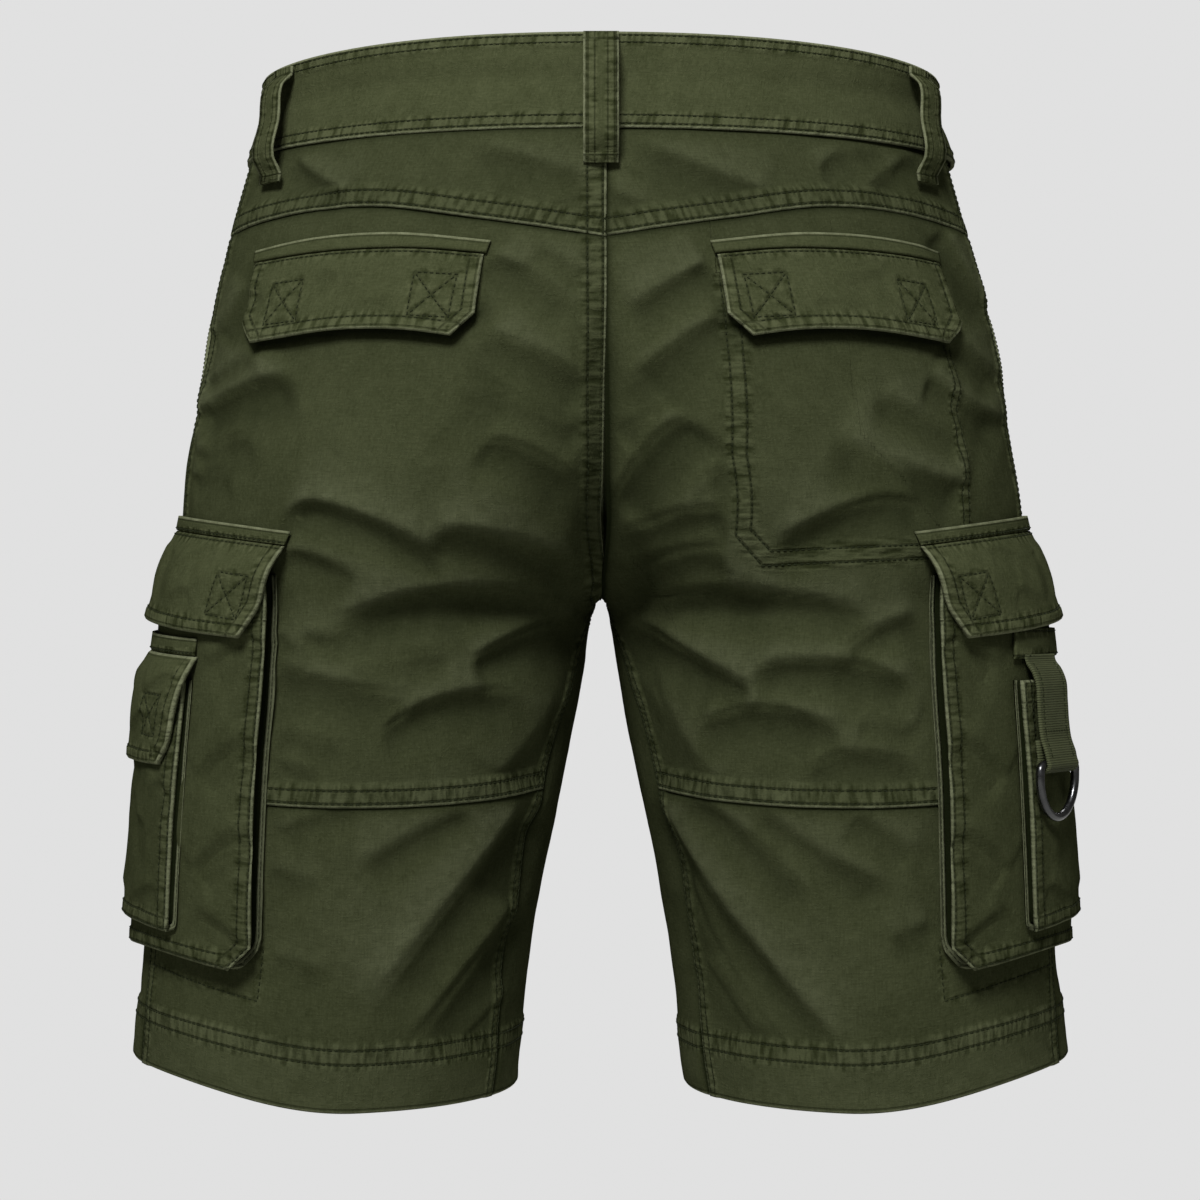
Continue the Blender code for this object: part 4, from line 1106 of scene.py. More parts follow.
def make_puckers() -> None:
    """The seam_puckers group: cloth drawn up between and beside its rows of stitches.

    Border holds a place across the upright and one across the level seams, with rows of stitches at
    2 and at 8, and the distance to rows inside the piece. Rim is the distance to the nearest edge.
    Rows is the mask of the painted shade along the rows' furrows and beside an edge's lip. Tone is
    painted light and shade: lighter where the puckers rise and between two rows, darker where they
    sink.
    """
    n, takes, gives = new_effect("seam_puckers", {"Place": "Vector", "Border": "Vector",
                                                  "Rim": "Float"},
                                 ("Height", "Tone", "Rows", "Lip"))
    apart = n.add("SeparateXYZ", {0: takes["Border"]})
    upright = n.noise(takes["Place"], 1.0, 1.5, (0.08, 0.30, 1.0))
    level = n.noise(takes["Place"], 1.0, 1.5, (0.30, 0.08, 1.0))
    loose = n.noise(takes["Place"], 1.0, 1.5, (0.24, 0.24, 1.0))
    near = n.spread(apart.outputs[2], 0.8, 4.0, 0.6, 0.0)
    drawn = n.sum("MULTIPLY", near, n.sum("SUBTRACT", loose, 0.5))
    # Painted shade along the furrows of the rows.
    furrows = n.spread(apart.outputs[2], 0.2, 1.3, 0.8, 0.0)
    plump = 0.0
    for place, pattern in ((apart.outputs[0], upright), (apart.outputs[1], level)):
        reach = n.sum("MULTIPLY", n.spread(place, -2.0, 0.5, 0.0, 1.0),
                      n.spread(place, 8.2, 13.0, 1.0, 0.0))
        drawn = n.sum("MULTIPLY_ADD", reach, n.sum("SUBTRACT", pattern, 0.5), drawn)
        middle = n.gap(place, 5.0)
        row = n.spread(n.gap(middle, 3.0), 0.15, 1.0, 1.0, 0.0)
        furrows = n.sum("MAXIMUM", furrows, row)
        # Painted light on the cloth between two rows.
        plump = n.sum("ADD", plump, n.spread(middle, 1.0, 3.0, 0.16, 0.0))
    # Painted shade: a dark line beside an edge's lip.
    beside = n.spread(n.gap(takes["Rim"], 1.75), 0.2, 0.65, 0.7, 0.0)
    furrows = n.sum("MAXIMUM", furrows, beside)
    n.put(gives["Lip"], n.spread(takes["Rim"], 0.75, 1.35, 1.0, 0.0))
    height = n.sum("MULTIPLY", drawn, 1.5)
    n.put(gives["Height"], n.sum("MULTIPLY_ADD", furrows, -0.30, height))
    # The ripples are painted lighter where they rise and darker where they sink: painted light and
    # shade.
    tone = n.sum("MULTIPLY_ADD", drawn, 3.2, 0.5)
    n.put(gives["Tone"], n.sum("ADD", tone, plump, clamp=True))
    n.put(gives["Rows"], furrows)


def make_wear() -> None:
    """The edge_wear group: a mask of rubbed cloth, broken up by its grain."""
    n, takes, gives = new_effect("edge_wear", {"Worn": "Float", "Grain": "Float",
                                               "Place": "Vector"}, ("Mask",))
    patchy = n.noise(takes["Place"], 0.16, 3.0)
    broken = n.sum("MULTIPLY_ADD", takes["Grain"], 1.3, 0.2)
    rubbed = n.sum("MULTIPLY", takes["Worn"], n.spread(patchy, 0.3, 0.7, 0.55, 1.0))
    n.put(gives["Mask"], n.sum("MULTIPLY", rubbed, broken, clamp=True))


def make_mottle() -> None:
    """The washed_mottle group: uneven colour of washed and faded cloth, and lines of small wrinkles,
    from a place in metres.
    """
    n, takes, gives = new_effect("washed_mottle", {"Place": "Vector"}, ("Tone", "Fleck", "Curl"))
    broad, middle = n.noise(takes["Place"], 22.0, 2.0), n.noise(takes["Place"], 110.0, 3.0)
    fine = n.noise(takes["Place"], 700.0, 2.0)
    both = n.sum("ADD", n.sum("MULTIPLY", broad, 0.45), n.sum("MULTIPLY", middle, 0.55))
    n.put(gives["Tone"], both)
    n.put(gives["Fleck"], fine)
    # Curl: thin squiggly lines of small wrinkles, used as relief and painted lighter as a painted
    # highlight.
    level = n.gap(n.noise(takes["Place"], 330.0, 1.0), 0.5)
    n.put(gives["Curl"], n.spread(level, 0.0, 0.035, 1.0, 0.0))


Colour = tuple[float, float, float, float]


class Surface(Nodes):
    """A new material, with its Principled shader."""

    def __init__(self, name: str) -> None:
        """Makes the plain material."""
        self.made = bpy.data.materials.new(name)
        self.made.use_nodes = True
        super().__init__(self.made.node_tree)

    def solid(self) -> Socket:
        """Places on the object, in metres."""
        return self.add("TexCoord").outputs["Object"]

    def cloth(self) -> Socket:
        """Places on the cloth, in millimetres."""
        flat = self.add("UVMap", uv_map="cloth").outputs[0]
        return self.add("VectorMath", {0: flat, "Scale": 1 / MM}, operation="SCALE").outputs[0]

    def dress(self, colour: object, rough: object, height: object, deep: float, strength: float,
              levels: dict[str, float]) -> Material:
        """Joins the shader's inputs.

        Args:
            colour: Its colour.
            rough: Its roughness.
            height: Its relief, in units of deep.
            deep: How deep a height of 1 is, in metres.
            strength: How much of the relief shows.
            levels: Its other inputs, by name.

        Returns:
            The material.
        """
        bump = self.add("Bump", {"Height": height, "Distance": deep, "Strength": strength})
        inputs = {"Base Color": colour, "Roughness": rough, "Normal": bump.outputs[0], **levels}
        for name, value in inputs.items():
            self.put(self.tree.nodes["Principled BSDF"].inputs[name], value)
        return self.made


@dataclass(frozen=True)
class Canvas:
    """A washed cotton canvas."""

    name: str
    deep: Colour
    light: Colour
    rubbed: Colour
    shaded: Colour = (0.006, 0.008, 0.003, 1)  # painted shade: in stitch furrows, fold troughs, gusset pleats, beside laps and round the back flaps
    pitch: float = 0.62  # from thread to thread
    threads: float = 0.05  # how far the weave stands up
    puckered: float = 1.25

    def make(self) -> Material:
        """Builds the material."""
        n = Surface(self.name)
        place, border = n.cloth(), n.add("Attribute", attribute_name="border").outputs
        worn = n.add("Attribute", attribute_name="worn").outputs["Fac"]
        weave = n.effect("woven_threads", {"Place": place, "Pitch": self.pitch})
        pucker = n.effect("seam_puckers", {"Place": place, "Border": border["Color"],
                                           "Rim": border["Alpha"]})
        mottle = n.effect("washed_mottle", {"Place": n.solid()})
        wear = n.effect("edge_wear", {"Worn": n.sum("MAXIMUM", worn, pucker["Lip"]),
                                      "Grain": weave["Slub"], "Place": place})
        # Curl paints the small wrinkles' lines lighter: a painted highlight.
        tone = n.heap(n.sum("MULTIPLY_ADD", mottle["Tone"], 0.9, 0.05), (weave["Slub"], 0.5, 1.1),
                      (mottle["Fleck"], 0.5, 0.7), (mottle["Curl"], 0, 0.16))
        # The puckers' painted light and shade.
        tone = n.sum("MULTIPLY_ADD", n.sum("SUBTRACT", pucker["Tone"], 0.5), 1.3, tone, clamp=True)
        colour = n.blend(wear["Mask"], n.blend(tone, self.deep, self.light), self.rubbed)
        # Painted shade: the colour goes to the shaded colour where the worn attribute is below 0, along
        # the stitch rows' furrows and beside edges' lips.
        shade = n.sum("MAXIMUM", n.sum("MULTIPLY", worn, -1.0),
                      n.sum("MULTIPLY", pucker["Rows"], 0.42), clamp=True)
        height = n.heap(n.sum("MULTIPLY", weave["Height"], self.threads), (weave["Slub"], 0, 0.16),
                        (mottle["Fleck"], 0, 0.10), (mottle["Curl"], 0, 0.12),
                        (pucker["Height"], 0, self.puckered))
        return n.dress(n.blend(shade, colour, self.shaded),
                       n.spread(mottle["Fleck"], 0.3, 0.7, 0.82, 0.95), height, MM, 1.0,
                       {"Specular IOR Level": 0.0})


@dataclass(frozen=True)
class Thread:
    """Sewing thread, twisted and a little darker than the cloth."""

    name: str
    deep: Colour
    light: Colour

    def make(self) -> Material:
        """Builds the material."""
        n = Surface(self.name)
        ply = n.noise(n.solid(), 1500.0, 1.0)
        return n.dress(n.blend(ply, self.deep, self.light), n.spread(ply, 0.3, 0.7, 0.75, 0.9), ply,
                       0.1 * MM, 0.8, {"Specular IOR Level": 0.12})


@dataclass(frozen=True)
class Webbing:
    """Woven webbing with fine ribs across it."""

    name: str
    deep: Colour
    light: Colour
    rib: float = 1.25
    yarn: float = 0.8

    def make(self) -> Material:
        """Builds the material."""
        n = Surface(self.name)
        place = n.cloth()
        apart = n.add("SeparateXYZ", {0: place}).outputs
        mottle = n.effect("washed_mottle", {"Place": n.solid()})
        wave = n.noise(place, 1.0, 1.0, (0.35, 0.5, 1.0))
        at = n.sum("ADD", n.sum("DIVIDE", apart[1], self.rib), n.sum("MULTIPLY", wave, 0.35))
        ribs, fine = n.ridges(at), n.ridges(apart[0], math.pi / self.yarn)
        height = n.heap(n.sum("MULTIPLY", fine, 0.07), (ribs, 0, 0.30), (mottle["Fleck"], 0, 0.1))
        tone = n.sum("MULTIPLY_ADD", mottle["Tone"], 0.8, n.sum("MULTIPLY", ribs, 0.45))
        tone = n.sum("SUBTRACT", tone, 0.2, clamp=True)
        return n.dress(n.blend(tone, self.deep, self.light),
                       n.spread(mottle["Fleck"], 0.3, 0.7, 0.7, 0.85), height, MM, 1.0,
                       {"Specular IOR Level": 0.2})


@dataclass(frozen=True)
class Lacquered:
    """A hard, smooth finish: the ring's black metal or the button's plastic."""

    name: str
    deep: Colour
    light: Colour
    gloss: tuple[float, float]  # its roughness, at its smoothest and at its dullest
    metallic: float

    def make(self) -> Material:
        """Builds the material."""
        n = Surface(self.name)
        solid = n.solid()
        cloudy, fine = n.noise(solid, 240.0, 4.0), n.noise(solid, 1800.0, 2.0)
        return n.dress(n.blend(cloudy, self.deep, self.light),
                       n.spread(cloudy, 0.3, 0.75, *self.gloss), fine, 0.02 * MM, 0.5,
                       {"Metallic": self.metallic, "Coat Weight": 0.4, "Coat Roughness": 0.12})


class Finishes:
    """All the finishes of the shorts, made once."""

    def __init__(self) -> None:
        """Builds the shared effects and the materials."""
        for make in (make_weave, make_puckers, make_wear, make_mottle):
            make()
        self.canvas = Canvas("olive_canvas", (0.023, 0.027, 0.011, 1), (0.055, 0.062, 0.030, 1),
                             (0.150, 0.162, 0.096, 1)).make()
        self.trim = Canvas("doubled_canvas", (0.029, 0.034, 0.014, 1), (0.068, 0.076, 0.037, 1),
                           (0.168, 0.180, 0.108, 1)).make()
        self.thread = Thread("olive_thread", (0.009, 0.012, 0.004, 1), (0.019, 0.024, 0.009, 1)).make()
        self.webbing = Webbing("ribbed_webbing", (0.026, 0.031, 0.012, 1),
                               (0.078, 0.088, 0.040, 1)).make()
        self.horn = Lacquered("button_horn", (0.016, 0.018, 0.009, 1), (0.055, 0.056, 0.032, 1),
                              (0.28, 0.45), 0.0).make()
        self.metal = Lacquered("ring_lacquer", (0.060, 0.061, 0.064, 1), (0.120, 0.122, 0.127, 1),
                               (0.24, 0.40), 1.0).make()


# ---------- the pieces


@dataclass
class Waistband:
    """The doubled band round the waist, lapped left over right at the centre front."""

    finishes: Finishes
    wall: float = 2.0
    lap: float = 26.0
    lap_lift: float = 2.6
    proud: float = 0.9
    step: float = 2.2

    def build(self) -> None:
        """Builds the band and its rows of stitches."""
        past = self.lap / FIGURE.level("x_out", 0.0)
        count = 4 * math.ceil(1016 / self.step / 4)
        angle = np.linspace(-math.pi / 2 - past, 1.5 * math.pi + past, count + 1)
        over = np.clip((2 * past - math.pi / 2 - angle) / (1.5 * past) + 1, 0, 1)
        share = graded(49.0, 8.0, 8.0, 0.85, 1.6)[:, None]
        foot = FIGURE.waist_bottom - 0.4
        z = FIGURE.rim_at(angle) * (1 - share) + foot * share
        angle = np.broadcast_to(angle, z.shape)
        spread = Spread(angle, z, FIGURE.arc(z, angle))
        edges = [
            Edge(spread.line(np.s_[0, ::-8]),
                 Finish(raised=0.5, zone=6.4, rows=(1.9, 5.6), roll=1.5, skip=3.0), False),
            Edge(spread.line(np.s_[-1, ::8]),
                 Finish(raised=0.3, zone=6.6, rows=(1.9, 6.2), roll=1.2, skip=3.0), False),
            Edge(spread.line(np.s_[[0, -1], 0]),
                 Finish(raised=0.3, zone=4.0, rows=(2.4,), skip=3.0)),
            Edge(spread.line(np.s_[[-1, 0], -1]), Finish(rows=(2.4,), skip=3.0)),
        ]
        hollow = 1.6 + 0.7 * CRUMPLES[0].at(spread.girth / 60 + 9, 0 * z)
        piece = Cloth("waistband", 1, spread.girth, z, self.proud + self.lap_lift * ease(over), edges,
                      self.finishes.trim, self.wall, folded=0.0, crumple=0.5, angle=angle,
                      shape=-hollow * np.exp(-(((z - 3.0) / 7.5) ** 2))).build()
        rows = Stitching("stitches_waistband", self.finishes.thread)
        rows.hem(piece)
        piece.declare(sewn=[rows.make()])


@dataclass
class Panels:
    """The panels of one side: yoke, back, lower back, front, hip facing, and their seams."""

    finishes: Finishes
    side: Side
    fine: float = 0.95
    coarse: float = 2.5
    lap: float = 2.7  # how far the left back laps over the right one
    front_lap: float = 1.5
    lap_fade: float = 9.0
    tuck: float = 2.5  # how far a panel reaches under its neighbour
    wall: float = 1.6

    def __post_init__(self) -> None:
        """Starts the side's stitches."""
        self.rows = Stitching("stitches_" + self.side.word, self.finishes.thread)
        self.left = self.side is Side.LEFT
        self.head = FIGURE.waist_bottom + self.tuck

    def lapped(self, z: Array, most: float) -> Array:
        """Angle at the centre line. A left panel reaches past it by most, but not at the crotch."""
        centre, width, _ = FIGURE.ellipse(z, 0.0)
        past = most * np.clip((z - FIGURE.crotch) / self.lap_fade, 0, 1) * self.left
        return np.arccos(np.clip((-centre - past) / width, -1, 1))

    def inner(self, z: Array) -> Array:
        """Angle of a back panel's inner edge, with its lap."""
        return np.where(z > FIGURE.crotch, self.lapped(z, self.lap), FIGURE.inseam_angle(z))

    def front_inner(self, z: Array) -> Array:
        """Angle of a front panel's inner edge, with its lap or its tuck at the inseam."""
        tucked = FIGURE.inseam_angle(z) - 2 * math.pi - 0.02 * np.clip((FIGURE.crotch - z) / 20, 0, 1)
        return np.where(z > FIGURE.crotch, -self.lapped(z, self.front_lap), tucked)

    def line(self, angle_of: AngleAt, start: float, end: float, count: int = 24) -> Track:
        """A track along an angle given by height, from one height to another."""
        z = np.linspace(start, end, count)
        return Track(np.stack([FIGURE.arc(z, angle_of(z)), z], -1))

    def grid(self, top: Array | float, bottom: Array | float, across: Array, down: Array,
             first: AngleAt, last: AngleAt) -> Spread:
        """The grid of a panel.

        Args:
            top: Height of its upper edge, at each column.
            bottom: Height of its lower edge, likewise.
            across: Shares of the columns.
            down: Shares of the rows.
            first: Angle of the first column, by height.
            last: Angle of the last column, by height.

        Returns:
            Its points.
        """
        z = top * (1 - down[:, None]) + bottom * down[:, None] + 0 * across
        start, end = first(z), last(z)
        angle = start + (end - start) * across
        return Spread(angle, z, FIGURE.arc(z, angle))

    def add(self, name: str, spread: Spread, edges: list[Edge], lift: float = 0.0,
            rows: Sequence[Track] = (), crumple: float = 1.0) -> Cloth:
        """Builds one panel and sews its rows."""
        piece = Cloth(f"{name}_{self.side.word}", self.side.value, spread.girth, spread.z,
                      np.full_like(spread.z, lift), edges, self.finishes.canvas, self.wall,
                      angle=spread.angle, rows=list(rows), crumple=crumple).build()
        self.rows.hem(piece)
        log.info("%s: %d points", piece.name, spread.z.size)
        return piece

    side_felled = Finish(raised=0.9, zone=8.4, rows=(1.8, 7.4))
    centre_felled = Finish(raised=1.1, zone=10.6, rows=(1.7, 8.8))
    inseam_felled = Finish(raised=1.0, zone=6.0, rows=(1.5, 5.4), fall=2.4)
    # A faint groove and a painted shadow on the back panel along the back flap's edges.
    sheltered = Finish(sunk=0.15, zone=0.4, fall=4.0, dusk=3.6, dark=0.8)
    under_flap = ((77, -84), (82, -114), (95, -125.5), (157, -121.8), (185, -123.4), (207, -126.6),
                  (216, -115.5))
    under_pocket = ((128, -424.5), (126, -450.4), (90, -447.8), (46, -445.0))
    bag = ((120, -234.0), (216, -238.6), (231, -224), (231, -184), (219, -128.5), (213, -98))
    bag_side = ((107, -217), (100, -166.5), (91, -124.8))
    bag_foot = Finish(raised=0.5, rows=(0.0, 7.0), within=True)
    bag_felled = Finish(raised=0.3, rows=(0.0, 4.6), within=True)
    hemmed = Finish(raised=0.8, zone=30.5, rows=(22.5, 29.0), roll=1.7, fall=1.8, faded=0.1)

    def yoke(self) -> Cloth:
        """The yoke, lapped over the back panel."""
        across = graded(270.0, 11.0, 11.0, self.fine, self.coarse)
        down = graded(46.0, 2.0, 12.0, self.fine, 2.0)
        spread = self.grid(self.head, read(FIGURE.yoke_seam, across), across, down,
                           FIGURE.side_angle, self.inner)
        return self.add("yoke", spread, [
            Edge(spread.line(FOOT), FELLED, False),
            Edge(spread.line(np.s_[[0, -1], 0]), self.side_felled),
            Edge(spread.line(TOP), RAW, False),
            Edge(spread.line(np.s_[[-1, 0], -1]), self.centre_felled if self.left else RAW)])

    def back(self) -> Cloth:
        """The back panel, from the yoke to the knee seam."""
        across = graded(255.0, 10.0, 12.0, self.fine, 1.9)
        down = graded(292.0, 2.0, 11.0, self.fine, 1.8)
        spread = self.grid(read(FIGURE.yoke_seam, across) + self.tuck, FIGURE.knee(across), across,
                           down, FIGURE.side_angle, self.inner)
        z = spread.z
        edges = [
            Edge(spread.line(FOOT), FELLED, False),
            Edge(self.line(FIGURE.side_angle, z[0, 0], z[-1, 0], 12), self.side_felled),
            Edge(self.line(self.inner, FIGURE.crotch + 1, z[0, -1]),
                 self.centre_felled if self.left else RAW),
            Edge(self.line(self.inner, z[-1, -1], FIGURE.crotch - 1), self.inseam_felled),
            Edge(spread.line(TOP), RAW, False), Edge(Track(self.under_flap), self.sheltered, False)]
        if not self.left:
            edges += [Edge(Track(self.bag), self.bag_foot), Edge(Track(self.bag_side), self.bag_felled)]
        return self.add("back", spread, edges)

    def lower(self) -> Cloth:
        """The back of the lower leg, with its hem."""
        across = graded(255.0, 10.0, 8.0, self.fine, self.coarse)
        down = graded(147.0, 2.0, 32.0, 1.15, 2.2)
        spread = self.grid(FIGURE.knee(across) + self.tuck, FIGURE.hem, across, down,
                           FIGURE.side_angle, self.inner)
        top = spread.z[0]
        return self.add("back_lower", spread, [
            Edge(spread.line(FOOT), self.hemmed, False),
            Edge(self.line(FIGURE.side_angle, top[0], FIGURE.hem, 8), self.side_felled),
            Edge(self.line(self.inner, FIGURE.hem, top[-1]), self.inseam_felled),
            Edge(spread.line(TOP), RAW, False)], rows=[Track(self.under_pocket)])

    def front(self) -> Cloth:
        """The front panel, cut away at the slanted pocket."""
        across = graded(325.0, 11.0, 9.0, self.fine, 2.8)
        down = graded(478.0, 2.0, 32.0, 1.15, 2.7)
        low = FIGURE.facing_bottom

        def first(z: Array) -> Array:
            """Angle of the slanted edge, and of the tuck at the side seam below it."""
            return FIGURE.slant_angle(z) + 0.012 * np.clip((low - z) / 10, 0, 1)

        spread = self.grid(self.head, FIGURE.hem, across, down, first, self.front_inner)
        return self.add("front", spread, [
            Edge(spread.line(np.s_[-1, ::-4]), self.hemmed, False),
            Edge(self.line(first, low, FIGURE.waist_bottom), FELLED),
            Edge(self.line(first, FIGURE.hem, low - 6, 12), RAW),
            Edge(self.line(self.front_inner, FIGURE.crotch - 4, FIGURE.hem), RAW),
            Edge(self.line(self.front_inner, FIGURE.waist_bottom, FIGURE.crotch),
                 FELLED if self.left else RAW),
            Edge(spread.line(TOP), RAW, False)])

    def facing(self) -> Cloth:
        """The facing that shows inside the slanted pocket."""
        across, down = graded(60.0, 4.0, 4.0, 2.5, 2.5), graded(112.0, 4.0, 4.0, 2.5, 2.5)
        spread = self.grid(self.head, FIGURE.facing_bottom + 8.0, across, down,
                           lambda z: FIGURE.side_angle(z) - 0.003,
                           lambda z: FIGURE.slant_angle(z) - 8.0 / 213.0)
        return self.add("hip_facing", spread, [], lift=-2.6, crumple=0.4)

    def build(self) -> None:
        """Builds the side's panels."""
        pieces = [self.yoke(), self.back(), self.lower(), self.front(), self.facing()]
        stitches = self.rows.make()
        for piece in pieces:
            piece.declare("waistband", sewn=[stitches] if piece is pieces[1] else [])


# girth, height and lift of each patch's corners: rows from the top down, each from the front back
KNOTS = {name: np.array(rows, float) for name, rows in {
    "back_welt": (
        ((73, -76.2, 2.4), (120, -72.8, 2.4), (160, -73.2, 2.4), (211, -79, 2.4)),
        ((75, -82.4, 2.9), (131, -80.6, 2.9), (177, -81.8, 2.9), (211, -85.4, 2.9)),
    ),
    "back_flap": (
        ((77, -83, 2.9), (131, -81.2, 2.9), (177, -82.4, 2.9), (210, -86, 2.9)),
        ((79, -98, 4.2), (140, -96, 4.6), (180, -97, 4.6), (213, -101, 4.2)),
        ((82, -114, 6.2), (145, -111, 6.6), (185, -112, 6.6), (216, -115.5, 6.2)),
        ((95, -125.5, 6.6), (157, -121.8, 7), (185, -123.4, 7), (207, -126.6, 6.6)),
    ),
    "cargo_band": (
        ((-76, -212, 2.6), (0, -210, 2.8), (104, -217.2, 2.8), (139, -221.4, 2.8)),
        ((-76, -219.4, 3.4), (0, -217.6, 3.8), (104, -224.6, 3.8), (137, -228.4, 3.8)),
    ),
    "cargo_flap": (
        ((-76, -219.8, 3.2), (0, -218, 3.6), (104, -225, 3.8), (137, -228.8, 4.2)),
        ((-76, -236, 6.2), (0, -236, 9.6), (104, -241, 14.8), (134, -242, 15.8)),
        ((-75, -252, 8.4), (0, -252, 13.2), (94, -258, 17.4), (128, -259, 17.6)),
        ((-66, -267, 9), (0, -263.5, 15), (94, -272, 18.6), (118, -274.4, 18.8)),
    ),
    "cargo_face": (
        ((-72, -246, 3), (0, -246, 7.6), (60, -246, 11.4), (130, -246, 13)),
        ((-72, -330, 3.2), (0, -330, 8.2), (60, -330, 12), (127.2, -330, 14.4)),
        ((-72, -428, 2.9), (0, -427, 7.2), (60, -425, 10.8), (127.6, -424, 13.8)),
        ((-60, -438.6, 2.7), (0, -437, 6.6), (60, -433.6, 10.2), (116, -436, 13.2)),
    ),
    "small_face": (
        ((-24, -296, 9.2), (0, -296, 12.4), (50, -296, 16), (86, -296, 18)),
        ((-24, -350, 9.4), (0, -350, 12.8), (50, -350, 16.4), (85, -350, 18.6)),
        ((-24, -420, 8.4), (0, -420, 11.2), (50, -420.5, 14.8), (84, -422, 17.4)),
    ),
    "small_band": (
        ((-26, -271, 8.8), (0, -271.4, 10.4), (50, -273, 13.8), (90, -275, 15.4)),
        ((-26, -280.4, 9), (0, -280.8, 10.8), (50, -282, 14.2), (90, -283.8, 16)),
    ),
    "small_flap": (
        ((-26, -280.8, 9.1), (0, -281.2, 10.9), (50, -282.4, 14.2), (91, -284.2, 16)),
        ((-27, -291, 12.2), (0, -291, 15.2), (50, -291.5, 18.8), (90, -293, 21)),
        ((-25, -326, 12.6), (0, -326, 16.4), (50, -327, 20.2), (82, -328.5, 22.4)),
        ((-16, -337, 12.8), (0, -337.6, 16.2), (50, -338.6, 19.8), (75, -339, 21.8)),
    ),
    "strap_band": (
        ((-26, -270, 8.8), (0, -270, 10.4), (50, -270, 13.8), (86, -269.6, 15.2)),
        ((-26, -283.4, 9), (0, -284, 10.8), (50, -284.6, 14.2), (88, -285.2, 15.8)),
    ),
}.items()}
# girth and height of the corners of each box of stitches
BOXES = {
    "back_flap": (((98, -95.6), (117, -94.6), (121, -116), (101, -116.8)),
                  ((179, -94.2), (201, -96), (204, -117.6), (183, -116))),
    "cargo_flap": (((105, -241.2), (123, -243.7), (116, -265.2), (98, -262.4)),
                   ((2, -237), (20, -238), (18, -258), (0, -257))),
    "small_flap": (((56, -303), (73, -304), (70, -325), (53, -324)),),
}


